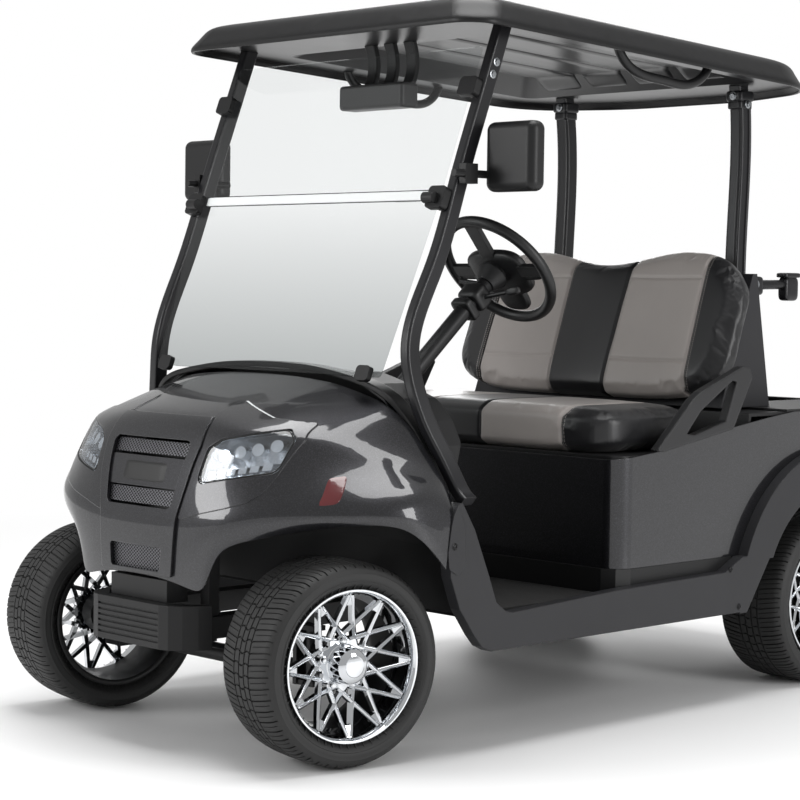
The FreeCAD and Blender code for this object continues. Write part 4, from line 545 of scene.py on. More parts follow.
def tyre_surface():
    """Closed surface of a tyre. Its profile goes from bead to bead; where a groove runs the radius drops by its
    depth. Lateral grooves follow the angle plus a wave of the position across, so the ribs become rows of blocks."""
    wall = [(84.2, 160.4), (85.2, 170), (92.0, 176.5), (98.6, 180.5), (101.2, 185), (101.9, 186.6), (101.1, 188),
            (102.2, 190.4), (102.3, 196), (101.6, 203), (101.9, 204.2), (101.0, 205.2), (99.6, 210), (96.0, 215.2)]
    shoulder = [(92.0, 218.4), (88.0, 221.0), (84.0, 222.8), (80.0, 224.0), (72, 225.3), (62, 226.2), (52, 226.7),
                (42, 227.0), (34, 227.2)]
    middle = []
    for edge in (30, 10):
        middle += [(edge + 2.3, 227.3), (edge + 1.5, 227.3), (edge - 1.5, 227.4), (edge - 2.3, 227.4)]
        middle += [(edge - 6, 227.4), (edge - 10, 227.4), (edge - 14, 227.4)] if edge == 30 else [(4, 227.5)]
    half = np.array(wall + shoulder + middle)
    profile = np.concatenate([half, [(0, 227.5)], half[::-1] * (-1, 1)])
    across = profile[:, 0]
    steps = np.array([0, 0.095, 0.125, 0.29, 0.46, 0.485, 0.53, 0.555, 0.75, 0.965])
    turn = ((np.arange(TREAD_PITCHES)[:, None] + steps) / TREAD_PITCHES).ravel() * 2 * np.pi
    part = np.tile(steps, TREAD_PITCHES)
    along_groove = np.min(np.abs(across[:, None] - np.array(RIB_EDGES)), 1) < 1.6
    across_groove = (part < 0.1)[:, None] & (np.abs(across) < 93)
    sipe = ((part > 0.47) & (part < 0.54))[:, None] & (np.abs(across) > 40) & (np.abs(across) < 89)
    depth = np.where(along_groove[None] | across_groove, GROOVE_DEPTH, np.where(sipe, 2.6, 0))
    wave = np.where(np.abs(across) < 34, 3.4 * np.cos(np.pi * across / 20), 0)
    wave = wave - np.clip(np.abs(across) - 30, 0, 60) * 0.16
    angle = turn[:, None] + wave / TYRE_RADIUS
    radius = profile[:, 1] - depth
    points = np.stack([np.broadcast_to(across, radius.shape), radius * np.cos(angle), radius * np.sin(angle)], -1)
    return points, grid_faces(len(turn), len(profile), True, True)[:, ::-1]


# Finish number of the painted back, after the chrome's 0
BACK = 1
STAR_POINTS = 12
HUB_FACE = 48
STAR_LIP = 84
# Radius where a bar starts at the rim and ends at the hub, and the turn in radians that it takes on the way
BAR_OUT, BAR_IN = 155, 54
BAR_START_TURN, BAR_END_TURN = 0.03, 0.70


def star_height(radius):
    """Front of the star along the axle at a radius: a dish that rises from the hub to the rim."""
    share = np.clip((np.asarray(radius, float) - 60) / 92, 0, 1)
    return HUB_FACE + 3 + (STAR_LIP - HUB_FACE - 3) * share ** 1.15


def star_bar(turn, side):
    """One ridged bar of a star point: a straight line in front view from the point on the rim to the hub's edge,
    lifted onto the dish, with a peaked section."""
    share = np.linspace(0, 1, 12)
    out_turn, in_turn = turn + side * BAR_START_TURN, turn + side * BAR_END_TURN
    start = np.array([BAR_OUT * math.cos(out_turn), BAR_OUT * math.sin(out_turn)])
    end = np.array([BAR_IN * math.cos(in_turn), BAR_IN * math.sin(in_turn)])
    line = start + (end - start) * share[:, None]
    along = (end - start) / np.linalg.norm(end - start)
    across = np.array([-along[1], along[0]])
    half = 4.2 + 1.8 * share
    section = np.array([(-1, -17), (-1, -3.4), (-0.66, -0.9), (0, 1.2), (0.66, -0.9), (1, -3.4), (1, -17)])
    flat = line[:, None, :] + across * (section[None, :, 0, None] * half[:, None, None])
    height = star_height(np.linalg.norm(line, axis=1))[:, None] + section[None, :, 1]
    points = np.concatenate([height[..., None], flat], -1)
    return points, grid_faces(12, 7, False, True)


def wheel_parts():
    """The rim, its star, the hub plate with its nuts and the domed cap, as (points, faces, finish number): all are
    profiles turned about the axle, but for the star's bars and webs."""
    rim = [(93.2, 169), (94.8, 168), (95, 165.5), (94.4, 163.4), (91.4, 161.0), (84, 157.6), (74, 154.2), (64, 152),
           (50, 149.4), (30, 145.2), (-52, 144.2), (-70, 149), (-92, 155), (-94.6, 160), (-95, 165.5), (-94, 168.6),
           (-88, 168.8), (-86.4, 160), (-68, 157.2), (-50, 150.4), (50, 150.6), (68, 157.4), (86.4, 160.2), (88, 169)]
    count = 160
    points = turned(rim, count)
    faces = grid_faces(count, len(rim), True, True)
    ring = np.arange(len(faces)) % len(rim)
    chrome = (ring < 9) | (ring > 20)
    parts = [(points, faces[chrome], 0), (points, faces[~chrome], BACK)]
    for number in range(STAR_POINTS):
        turn = 2 * math.pi * number / STAR_POINTS
        for side in (1, -1):
            parts.append((*star_bar(turn, side), 0))
        # A small web fills the point where its two bars meet
        web = np.array([(158, -0.045), (158, 0.045), (132, 0.06), (132, -0.06)])
        spot = np.stack([web[:, 0] * np.cos(turn + web[:, 1]), web[:, 0] * np.sin(turn + web[:, 1])], -1)
        height = star_height(web[:, 0])
        top = np.concatenate([(height - 2.0)[:, None], spot], -1)
        low = np.concatenate([(height - 14.0)[:, None], spot], -1)
        block = np.array([(0, 1, 2, 3), (7, 6, 5, 4), (0, 4, 5, 1), (1, 5, 6, 2), (2, 6, 7, 3), (3, 7, 4, 0)])
        parts.append((np.concatenate([top, low]), block, 0))
    angle = np.linspace(0, 2 * np.pi, 120, endpoint=False)
    lobes = 60 + 4.0 * np.cos(angle * STAR_POINTS)
    plate = [(22, 0.55), (HUB_FACE - 12, 0.72), (HUB_FACE - 3, 1.0), (HUB_FACE + 2, 0.98), (HUB_FACE + 4, 0.93),
             (HUB_FACE + 3, 0.74), (HUB_FACE + 2, 0.55)]
    rows = np.stack([np.stack([np.full_like(angle, height), lobes * share * np.cos(angle),
                               lobes * share * np.sin(angle)], -1) for height, share in plate], 1)
    parts.append((rows, grid_faces(120, len(plate), True), 0))
    cap = [(HUB_FACE, 45), (HUB_FACE + 6, 44.5), (HUB_FACE + 8, 42.5), (HUB_FACE + 36, 40.5), (HUB_FACE + 44, 38),
           (HUB_FACE + 49, 32), (HUB_FACE + 51.5, 24), (HUB_FACE + 50.6, 22.5), (HUB_FACE + 51.6, 14),
           (HUB_FACE + 52, 0.05)]
    parts.append((turned(cap, 96), grid_faces(96, len(cap), True), 0))
    hub = [(-25, 0.1), (-25, 46), (20, 48), (34, 40), (34, 0.1)]
    parts.append((turned(hub, 48), grid_faces(48, len(hub), True)[:, ::-1], BACK))
    for number in range(5):
        turn = 2 * math.pi * (number + 0.3) / 5
        middle_y, middle_z = 52 * math.cos(turn), 52 * math.sin(turn)
        nut = turned([(HUB_FACE, 9.5), (HUB_FACE + 4, 9.5), (HUB_FACE + 5, 8), (HUB_FACE + 13, 7.4),
                      (HUB_FACE + 14.5, 5), (HUB_FACE + 15, 0.05)], 12) + np.array([0, middle_y, middle_z])
        parts.append((nut, grid_faces(12, 6, True), 0))
    return parts


def make_wheels():
    """All four wheels and tyres, each riding on its own wheel's body."""
    tyre_points, tyre_faces = tyre_surface()
    star_parts = wheel_parts()
    for corner in CORNERS:
        tyre = put_mesh("tyre_" + corner + "_tread", on_axle(corner, tyre_points), tyre_faces, ["tyre"])
        sharp_edges(tyre, 40)
        star = joined("wheel_" + corner + "_star", [(on_axle(corner, points), faces, number)
                                                    for points, faces, number in star_parts],
                      ["chrome", "wheel_back"])
        sharp_edges(outward(star), 26)
        for made, node, finish in ((tyre, "tyre_" + corner, "tyre_rubber"),
                                   (star, "wheel_" + corner, "wheel_chrome")):
            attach(made, "wheel_" + corner + "_body")
            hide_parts(node)


# Seats: padded forms, sewn along lines that the finish and the valleys both read from one sewing map

def pillow(half_x, half_y, half_z, power=6.0, count=64):
    """Closed rounded block: a cube's grid pushed onto the surface where the three powered shares add up to one."""
    line = np.tan(np.linspace(-1, 1, count) * math.pi / 4)
    first, second = np.meshgrid(line, line, indexing="ij")
    one = np.ones_like(first)
    sides = [(one, first, second), (-one, second, first), (second, one, first), (first, -one, second),
             (first, second, one), (second, first, -one)]
    parts = []
    for side in sides:
        cube = np.stack(side, -1)
        cube = cube / (np.sum(np.abs(cube) ** power, -1, keepdims=True) ** (1 / power))
        parts.append(cube * (half_x, half_y, half_z))
    return parts, grid_faces(count, count)


# How near points of a pad's sides are joined, the pad's even mesh, and the cloth's pressure and its frames
PAD_REACH = 0.0004
PAD_VOXEL = 0.006
PAD_PRESSURE = 3.0
CLOTH_FRAMES = 20


def sewn_pad(name, shape, move, cap_mm):
    """A pad from its unswollen form: joined, remeshed, swollen by cloth under pressure, and smoothed once."""
    parts, faces = shape
    pad = joined(name, [(move(points.reshape(-1, 3)), faces, 0) for points in parts], ["vinyl"])
    outward(pad, PAD_REACH)
    swell(pad, cap_mm)
    return pad


def points_of(mesh):
    """A mesh's points as an array."""
    points = np.empty(len(mesh.vertices) * 3)
    mesh.vertices.foreach_get("co", points)
    return points.reshape(-1, 3)


def swell(pad, cap_mm):
    """Remesh the pad evenly, let cloth under pressure swell it, and cap how far each point moves."""
    bpy.context.view_layer.objects.active = pad
    remesh = pad.modifiers.new("even", "REMESH")
    remesh.mode = "VOXEL"
    remesh.voxel_size = PAD_VOXEL
    bpy.ops.object.modifier_apply(modifier="even")
    start = points_of(pad.data)
    cloth = pad.modifiers.new("swell", "CLOTH")
    cloth.settings.use_pressure = True
    cloth.settings.uniform_pressure_force = PAD_PRESSURE
    cloth.settings.effector_weights.gravity = 0
    scene = bpy.context.scene
    for number in range(1, CLOTH_FRAMES + 1):
        scene.frame_set(number)
    graph = bpy.context.evaluated_depsgraph_get()
    moved = points_of(pad.evaluated_get(graph).data)
    scene.frame_set(1)
    pad.modifiers.remove(cloth)
    way = moved - start
    length = np.maximum(np.linalg.norm(way, axis=1, keepdims=True), 1e-9)
    kept = start + way * np.minimum(1, cap_mm * MM / length)
    pad.data.vertices.foreach_set("co", kept.ravel())
    smooth = pad.modifiers.new("smooth", "SUBSURF")
    smooth.levels = smooth.render_levels = 1
    bpy.ops.object.modifier_apply(modifier="smooth")


VALLEY_HALF_MM = 5


def sew(pad, across, up, lines_up, face_test, depth_mm):
    """Press valleys into a pad where its sewing map (across, up) in millimetres meets a panel's edge or a line, and
    keep the map as UV. A valley drops by its depth times a bell of the distance to the line."""
    mesh = pad.data
    normals = np.empty(len(mesh.vertices) * 3)
    mesh.vertices.foreach_get("normal", normals)
    normals = normals.reshape(-1, 3)
    points = points_of(mesh)
    dip = np.zeros(len(points))
    for value in PANEL_EDGES_MM:
        dip = np.maximum(dip, np.exp(-((np.abs(across) - value) / VALLEY_HALF_MM) ** 2))
    for value, inner, outer in lines_up:
        inside = (np.abs(across) > inner) & (np.abs(across) < outer)
        dip = np.maximum(dip, 0.6 * inside * np.exp(-((up - value) / VALLEY_HALF_MM) ** 2))
    moved = points - normals * (dip * face_test * depth_mm * MM)[:, None]
    mesh.vertices.foreach_set("co", moved.ravel())
    layer = mesh.uv_layers.new(name="sewing")
    loops = np.empty(len(mesh.loops), np.int32)
    mesh.loops.foreach_get("vertex_index", loops)
    layer.data.foreach_set("uv", (np.stack([across, up], -1)[loops] * MM).astype(np.float32).ravel())
    mesh.update()


# The backrest's lean, its foot (along, up) in metres, and its width's half, height and thickness
BACK_LEAN = math.radians(20)
BACK_FOOT = (0.346, 0.764)
BACK_SIZE_MM = (500, 448, 88)


def make_cushion(seam_depth, most_swell):
    """The bench cushion: a long rounded block with a crown, sewn of black and grey panels."""
    low, high = (np.array(corner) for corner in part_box("seat_cushion"))
    middle_point, half = (low + high) / 2, (high - low) / 2 - np.array([0.006, 0.006, 0.004])
    parts, faces = pillow(*half, power=6.5, count=48)

    def move(points):
        moved = points.copy()
        crown = 1 + 0.1 * np.cos(points[:, 0] / half[0] * 1.3)
        moved[:, 2] = np.where(points[:, 2] > 0, points[:, 2] * crown, points[:, 2])
        return moved + middle_point
    pad = sewn_pad("seat_cushion_pad", (parts, faces), move, most_swell / MM)
    points = points_of(pad.data) - middle_point
    across = points[:, 0] / MM
    around = np.where(points[:, 1] > -half[1] * 0.75, points[:, 1] + half[1], points[:, 2] * 0.6) / MM
    upper = np.clip((points[:, 2] + half[2] * 0.8) / (0.3 * half[2]), 0, 1)
    sew(pad, across, around, [], upper, seam_depth / MM)
    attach(pad, "seat_cushion_body")
    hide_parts("seat_cushion")


def on_back(points):
    """Points across, through and up the backrest's own slope, in metres, moved to their place."""
    foot = np.array([0, BACK_FOOT[0], BACK_FOOT[1]])
    through, up = points[:, 1], points[:, 2]
    return foot + np.stack([points[:, 0], through * math.cos(BACK_LEAN) + up * math.sin(BACK_LEAN),
                            up * math.cos(BACK_LEAN) - through * math.sin(BACK_LEAN)], -1)


def make_backrest(seam_depth, most_swell):
    """The backrest: a rounded slab with a hump over each seat, hollowed a little in each grey panel."""
    half_x, tall, thick = (size * MM for size in BACK_SIZE_MM)
    half = (half_x - 0.008, thick / 2 - 0.006, tall / 2 - 0.008)
    parts, faces = pillow(*half, power=5.0, count=64)

    def shape(points):
        x, y, z = points.T
        share = np.abs(x) / half[0]
        hump = 0.5 - 0.5 * np.cos(np.clip(share / 0.56, 0, 2) * math.pi)
        top = (z / half[2] + 1) / 2
        dip = -0.042 * (1 - hump) * (share < 0.56) * np.clip(top, 0, 1) ** 2
        corner = -0.055 * np.clip((share - 0.62) / 0.38, 0, 1) ** 2.2 * np.clip(top, 0, 1) ** 2
        waist = 1 - 0.05 * np.clip((0.35 - top) / 0.35, 0, 1) ** 2
        bulge = np.where(y < 0, 1 + 0.12 * np.cos(share * math.pi * 2.2), 1)
        return np.stack([x * waist, y * bulge, z + dip + corner], -1)

    def move(points):
        return on_back(shape(points) + np.array([0, thick / 2, tall / 2]))
    pad = sewn_pad("backrest_pad", (parts, faces), move, most_swell / MM)
    points = points_of(pad.data) - np.array([0, BACK_FOOT[0], BACK_FOOT[1]])
    up = (points[:, 2] * math.cos(BACK_LEAN) + points[:, 1] * math.sin(BACK_LEAN)) / MM
    through = (points[:, 1] * math.cos(BACK_LEAN) - points[:, 2] * math.sin(BACK_LEAN)) / MM
    across = points[:, 0] / MM
    taper = 1 + 0.10 * np.clip(up / BACK_SIZE_MM[1], 0, 1) * np.where(np.abs(across) < 200, 1, -0.35)
    front = np.clip((thick / MM * 0.8 - through) / 20, 0, 1)
    sew(pad, across / taper, up, [(110, *PANEL_EDGES_MM), (345, *PANEL_EDGES_MM)], front, seam_depth / MM)
    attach(pad, "root")
    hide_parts("backrest")


# Lamps and markers

# A place in front of the cart that rays start from
AHEAD = -2.0
LAMP_RIM_MM = 1.7
RIM_STEPS = 120
# Corners (along, up) of the marker on each fender
MARKER_CORNERS = ((-1.002, 0.573), (-0.969, 0.578), (-0.921, 0.639), (-0.959, 0.633))
PLATE_HALF_WIDTH, PLATE_LOW, PLATE_HIGH = 0.078, 0.601, 0.646


def lens_border(side):
    """Closed path round one lamp's lens: the corners of its front view, evenly spaced, laid on the cowl."""
    points = points_of(frame["nodes"]["headlamp_lenses"].data)
    points = points[points[:, 0] * side > 0]
    flat = [Vector((x, z)) for x, z in points[:, [0, 2]]]
    round_way = [flat[number] for number in geometry.convex_hull_2d(flat)]
    corners = np.array(round_way + round_way[:1])
    length = np.concatenate([[0], np.cumsum(np.linalg.norm(np.diff(corners, axis=0), axis=1))])
    even = np.linspace(0, length[-1], RIM_STEPS, endpoint=False)
    across, up = (np.interp(even, length, corners[:, column]) for column in (0, 1))
    middle_x, middle_z = across.mean(), up.mean()
    tree = surface_tree("headlamp_lenses", "front_cowl")
    # Drawn in a little, so that every ray meets the lens and not the gap round it
    spots = np.stack([middle_x + (across - middle_x) * 0.985, np.full(len(even), AHEAD),
                      middle_z + (up - middle_z) * 0.98], -1)
    path = np.array([met(tree, spot, (0, 1, 0)) for spot in spots])
    for _ in range(4):
        path = (np.roll(path, 1, 0) + 2 * path + np.roll(path, -1, 0)) / 4
    return path


def make_lamp_trim():
    """A black rubber rim round each lens, a dark red marker on each fender and the blank plate on the nose."""
    rims, markers = [], []
    for side in (1, -1):
        rims.append((*swept(lens_border(side), LAMP_RIM_MM * MM, 12, True), 0))
        corners = [(side * 0.8, along, up) for along, up in MARKER_CORNERS]
        markers += laid_plate(surface_tree("front_cowl"), corners, (-side, 0, 0), 2.2, 0, 6.0)
    fitted("headlamp_rims", rims, ["gasket"])
    fitted("side_markers", markers, ["marker"])
    corners = upright(-PLATE_HALF_WIDTH, PLATE_HALF_WIDTH, AHEAD, PLATE_LOW, PLATE_HIGH)
    plate = laid_plate(surface_tree("badge_bar", "grille_mask"), corners, (0, 1, 0), 3.0, 0, 10.0)
    fitted("blank_nose_plate", plate, ["gasket"])


# Roof: liner panels between grooves, and the fittings of the struts

GROOVE_MM = 26
LINER_FRONT, LINER_REAR = -0.322, 0.596
GROOVES = (-0.345, -0.170, 0.0, 0.170, 0.345)
UNDER_LINER = 1.2


def make_liner_panels():
    """Raised panels under the roof between dark grooves that run along the cart, laid on the liner's vault."""
    tree = surface_tree("roof_liner")
    parts = []
    half = GROOVE_MM * MM / 2
    for groove, next_groove in zip(GROOVES[:-1], GROOVES[1:]):
        low, high = groove + half, next_groove - half
        corners = [(low, LINER_FRONT, UNDER_LINER), (high, LINER_FRONT, UNDER_LINER),
                   (high, LINER_REAR, UNDER_LINER), (low, LINER_REAR, UNDER_LINER)]
        parts += laid_plate(tree, corners, (0, 0, 1), 5.0, 0, 30.0, (14, 70))
    fitted("roof_liner_panels", parts, ["liner"], sharp=50)


# Across and along place of the rear struts, the heights their flanges reach, and the size of a flange
REAR_STRUT_PLACE = (0.316, 0.666)
FLANGE_LOW, FLANGE_HIGH = 0.775, 1.565
FLANGE_RADIUS = 0.0055
BRACKET_HEIGHT, COLLAR_HEIGHT = 1.584, 1.560
# Outer face of the front struts, and the bolts (along, up) in it
FRONT_STRUT_FACE = 0.470
FRONT_STRUT_BOLTS = ((-0.466, 1.574), (-0.478, 1.545))


def make_strut_fittings():
    """Flanges along the rear struts that make them look like channels, top brackets with bolts, and two bolts
    near the top of each front strut."""
    tree = surface_tree("rear_struts")
    flanges, brackets, bolts = [], [], []
    for side in (1, -1):
        heights = np.linspace(FLANGE_LOW, FLANGE_HIGH, 40)
        across, along = REAR_STRUT_PLACE
        front = np.array([met(tree, (side * across, 0.3, height), (0, 1, 0)) for height in heights])
        rear = np.array([met(tree, (side * across, 1.2, height), (0, -1, 0)) for height in heights])
        outer = np.array([met(tree, (side * 0.6, along, height), (-side, 0, 0))[0] for height in heights])
        for edge, inset in ((front, 0.006), (rear, -0.006)):
            path = np.stack([outer - side * 0.0005, edge[:, 1] + inset, heights], -1)
            flanges.append((*swept(path, FLANGE_RADIUS), 0))
        top = (front[-1] + rear[-1]) / 2
        brackets += rounded((top[0], top[1], BRACKET_HEIGHT), (27, 31, 15), 0, 7.0)
        brackets += rounded((top[0], top[1], COLLAR_HEIGHT), (24, 27, 12), 0, 7.0)
        bolts += bolt((top[0], top[1] - 0.031, BRACKET_HEIGHT), (0, -1, 0), 8, 0)
        bolts += bolt((top[0] + side * 0.027, top[1], COLLAR_HEIGHT + 0.002), (side, 0, 0), 8, 0)
        for along, height in FRONT_STRUT_BOLTS:
            bolts += bolt((side * FRONT_STRUT_FACE, along, height), (side, 0, 0), 7, 0)
    fitted("rear_strut_flanges", flanges, ["strut"])
    fitted("rear_strut_brackets", brackets, ["strut"])
    fitted("strut_bolts", bolts, ["zinc"])


# Cabin and body fittings

GLASS_INSET = 0.012
GLASS_SIZE = (0.128, 0.136)


def make_mirror_glass():
    """A thin mirror on the rear face of each outside mirror."""
    tree = surface_tree("mirrors")
    reach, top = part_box("mirrors")[1][0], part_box("mirrors")[1][2]
    parts = []
    for side in (1, -1):
        corners = upright(side * (reach - GLASS_INSET), side * (reach - GLASS_INSET - GLASS_SIZE[0]), 0.0,
                          top - GLASS_INSET - GLASS_SIZE[1], top - GLASS_INSET)
        parts += laid_plate(tree, corners, (0, -1, 0), 1.5, 0, 6.0)
    fitted("mirror_glass", parts, ["chrome"])


# Centre (across, down, towards the driver, in metres) and half sizes in mm of each block of the shield
SHIELD_BLOCKS = (((0, 0.012, 0.006), (92, 66, 19)), ((0, 0.020, 0.018), (58, 44, 16)),
                 ((0, 0.078, 0.004), (44, 52, 13)), ((0.098, 0.010, 0.004), (44, 22, 11)),
                 ((-0.098, 0.010, 0.004), (44, 22, 11)))


def make_steering_pad():
    """A broad soft shield over the wheel's hub and the roots of its spokes, turning with the wheel."""
    place, axis = joint_at("steering_wheel_turn")
    level = np.array([1.0, 0, 0])
    down = np.cross(level, axis)
    down = down if down[2] < 0 else -down
    basis = np.stack([level, down, axis])
    parts = []
    for centre, half in SHIELD_BLOCKS:
        for points, faces, number in rounded((0, 0, 0), half, 0, 3.4, count=24):
            parts.append((place + (points + centre) @ basis, faces, number))
    fitted("steering_wheel_pad", parts, ["grip"], "steering_wheel_body")


# How far the housing and the clamp sit down the column from the wheel, and where the lever goes
SWITCH_DROP, CLAMP_DROP = 0.105, 0.150
LEVER_REACH = np.array([0.088, 0.012, 0.016])


def make_column_switch():
    """The switch housing under the steering wheel, a clamp round the column and the direction lever."""
    place, axis = joint_at("steering_wheel_turn")
    spot = place - axis * SWITCH_DROP
    parts = rounded(spot, (26, 34, 30), 0, 5.0, axis)
    parts += rounded(place - axis * CLAMP_DROP, (12, 30, 30), 0, 6.0, axis)
    share = np.linspace(0, 1, 12)[:, None]
    lever = spot + np.array([0.028, 0, 0]) + share * LEVER_REACH
    parts.append((*swept(lever, 0.0055), 0))
    parts += rounded(lever[-1], (20, 8, 10), 0, 3.0, LEVER_REACH)
    fitted("column_switch", parts, ["grip"])


SEAM_HALF = 0.405


def make_pane_seam():
    """The bright bar over the seam between the windscreen's panes, with thin dark lines along its borders."""
    tree = surface_tree("windscreen")
    low, high = PANE_SEAM + 0.002, PANE_SEAM + 0.026
    corners = upright(-SEAM_HALF, SEAM_HALF, AHEAD, low, high)
    parts = laid_plate(tree, corners, (0, 1, 0), 2.6, 0, 24.0, (60, 10))
    for height in (low, high):
        line = np.linspace(-SEAM_HALF + 0.002, SEAM_HALF - 0.002, 24)
        path = [met(tree, (across, AHEAD, height), (0, 1, 0)) for across in line]
        parts.append((*swept(path, 0.0012, 8), 1))
    fitted("pane_seam_bar", parts, ["seam_bar", "strut"])


# Places (along, up) of the screws on each side
SCREWS = ((-0.7173, 0.4786), (0.289, 0.345), (0.327, 0.2468))


def make_body_screws():
    """Round-headed screws on the sills and the flares: a head profile turned about each screw's axis."""
    tree = surface_tree("sills")
    parts = []
    head = [(-0.001, 0), (-0.001, 0.0085), (0.0006, 0.0085), (0.0012, 0.0065), (0.0030, 0.0058), (0.0038, 0.0030),
            (0.0024, 0.0022), (0.0024, 0)]
    for side in (1, -1):
        for along, up in SCREWS:
            spot = met(tree, (side * 0.9, along, up), (-side, 0, 0))
            parts.append((aimed(turned(head, 24), spot, (side, 0, 0)), grid_faces(24, len(head), True), 0))
    fitted("body_screws", parts, ["black_bolt"])


BAG_ARM_PLACE = 0.318


def make_bag_bar_clamps():
    """Clamp blocks with bolts where the bag bar leaves the struts, and a strap block on each arm."""
    parts = []
    for side in (1, -1):
        spot = np.array([side * BAG_ARM_PLACE, 0.735, 1.069])
        parts += rounded(spot, (16, 36, 26), 0, 6.0)
        parts += bolt(spot + np.array([side * 0.016, 0, 0.004]), (side, 0, 0), 8, 1)
        parts += rounded((side * BAG_ARM_PLACE, 0.905, 1.062), (17, 30, 34), 0, 5.0)
        parts += rounded((side * BAG_ARM_PLACE, 0.905, 1.100), (20, 36, 7), 0, 6.0)
    fitted("bag_bar_clamps", parts, ["strut", "zinc"])


# Stage

# Fitted to the photo from the four tyres and rims
CAMERA_PLACE = (3.8905, -4.0802, 1.0484)
CAMERA_TURN = (0.8006, 0.0523, 0.0141)
CAMERA_LENS = 96.1


def aim_camera():
    """Camera from its place and its turn: azimuth, downward pitch and roll in radians."""
    azimuth, pitch, roll = CAMERA_TURN
    back = Vector((math.sin(azimuth) * math.cos(pitch), -math.cos(azimuth) * math.cos(pitch), math.sin(pitch)))
    right = (-back).cross(Vector((0, 0, 1))).normalized()
    up = right.cross(-back)
    turned_right = right * math.cos(roll) + up * math.sin(roll)
    turned_up = up * math.cos(roll) - right * math.sin(roll)
    camera = bpy.data.objects.new("camera", bpy.data.cameras.new("camera"))
    camera.data.lens = CAMERA_LENS
    camera.data.sensor_width = 36
    camera.matrix_world = Matrix.Translation(CAMERA_PLACE) @ Matrix(
        (turned_right, turned_up, back)).transposed().to_4x4()
    bpy.context.collection.objects.link(camera)
    bpy.context.scene.camera = camera


def add_lamp(name, place, aim, size, power):
    """A rectangular soft lamp turned towards a point."""
    lamp = bpy.data.lights.new(name, "AREA")
    lamp.shape = "RECTANGLE"
    lamp.size, lamp.size_y = size
    lamp.energy = power
    shown = bpy.data.objects.new(name, lamp)
    away = Vector(place) - Vector(aim)
    shown.matrix_world = Matrix.Translation(place) @ away.to_track_quat("Z", "Y").to_matrix().to_4x4()
    bpy.context.collection.objects.link(shown)


def white_floor():
    """A white floor that keeps the shadow near the cart and turns to plain white far from it."""
    half = 14.0
    mesh = bpy.data.meshes.new("floor")
    mesh.from_pydata([(-half, -half, 0), (half, -half, 0), (half, half, 0), (-half, half, 0)], [], [(0, 1, 2, 3)])
    floor = bpy.data.objects.new("floor", mesh)
    bpy.context.collection.objects.link(floor)
    made, tree, where = new_material("studio_floor")
    away = add_node(tree, "VectorMath", {"operation": "LENGTH"}, {0: where}).outputs["Value"]
    fade = add_node(tree, "MapRange", {"From Min": 2.0, "From Max": 4.5}, {"Value": away})
    matt = add_node(tree, "BsdfPrincipled", {"Base Color": linear("#F4F4F4"), "Roughness": 0.55})
    plain = add_node(tree, "Emission", {"Color": linear("#FFFFFF"), "Strength": 1.0})
    mixed = add_node(tree, "MixShader", links={0: fade, 1: matt, 2: plain})
    add_node(tree, "OutputMaterial", links={"Surface": mixed})
    mesh.materials.append(made)


def studio_world(strength):
    """White to the camera and behind clear pieces, and a soft grey dome as light on the cart."""
    world = bpy.data.worlds.new("studio")
    bpy.context.scene.world = world
    world.use_nodes = True
    tree = world.node_tree
    tree.nodes.clear()
    rays = add_node(tree, "LightPath")
    seen = add_node(tree, "Math", {"operation": "MAXIMUM"},
                    {0: rays.outputs["Is Camera Ray"], 1: rays.outputs["Is Transmission Ray"]})
    dome = add_node(tree, "Background", {"Color": linear("#FFFFFF"), "Strength": strength})
    plain = add_node(tree, "Background", {"Color": linear("#FFFFFF"), "Strength": 1.0})
    mixed = add_node(tree, "MixShader", links={0: seen, 1: dome, 2: plain})
    add_node(tree, "OutputWorld", links={"Surface": mixed})


def light_stage(dome, overhead):
    """Overhead softbox, a tall strip at each side and a low front fill."""
    studio_world(dome)
    add_lamp("overhead_softbox", (0.0, 0.0, 4.6), (0, 0, 0.8), (3.4, 3.4), overhead)
    add_lamp("left_strip", (4.6, 0.6, 1.8), (0, 0.2, 0.7), (1.4, 2.6), 90)
    add_lamp("front_strip", (-2.2, -4.8, 2.2), (0, -0.6, 0.6), (1.6, 2.4), 90)
    add_lamp("rear_strip", (-3.5, 3.8, 2.4), (0, 0.4, 0.9), (2.0, 2.4), 70)


class GOLFCART_PG_colours(bpy.types.PropertyGroup):
    """Colours of the painted body"""
    paint: bpy.props.FloatVectorProperty(
        name="Paint base", description="Dark base of the metallic paint", subtype="COLOR", size=4, min=0, max=1,
        default=linear("#1D1D20"))
    flake: bpy.props.FloatVectorProperty(
        name="Paint flake", description="Bright flakes of the metallic paint", subtype="COLOR", size=4, min=0, max=1,
        default=linear("#4A4A50"))


class GOLFCART_PG_seats(bpy.types.PropertyGroup):
    """Sizes of the seats"""
    seam_depth: bpy.props.FloatProperty(
        name="Seam depth", description="How deep a seam sinks into a pad", default=0.0055, min=0, unit="LENGTH")
    swell: bpy.props.FloatProperty(
        name="Swell", description="How far a pad may swell", default=0.008, min=0, unit="LENGTH")


class GOLFCART_PG_lights(bpy.types.PropertyGroup):
    """Levels of the studio"""
    dome: bpy.props.FloatProperty(name="Dome", description="Strength of the soft dome", default=0.5, min=0)
    overhead: bpy.props.FloatProperty(name="Overhead", description="Power of the overhead softbox", default=210,
                                      min=0, unit="POWER")


class GOLFCART_OT_finishes(bpy.types.Operator):
    """Make the finishes and give them to the CAD pieces"""
    bl_idname = "golfcart.finishes"
    bl_label = "Finishes"

    def execute(self, context):
        make_finishes(context.scene.golfcart_colours)
        finish_nodes()
        return {"FINISHED"}


class GOLFCART_OT_wheels(bpy.types.Operator):
    """Build the four star wheels and their tyres"""
    bl_idname = "golfcart.wheels"
    bl_label = "Wheels and tyres"

    def execute(self, context):
        make_wheels()
        return {"FINISHED"}


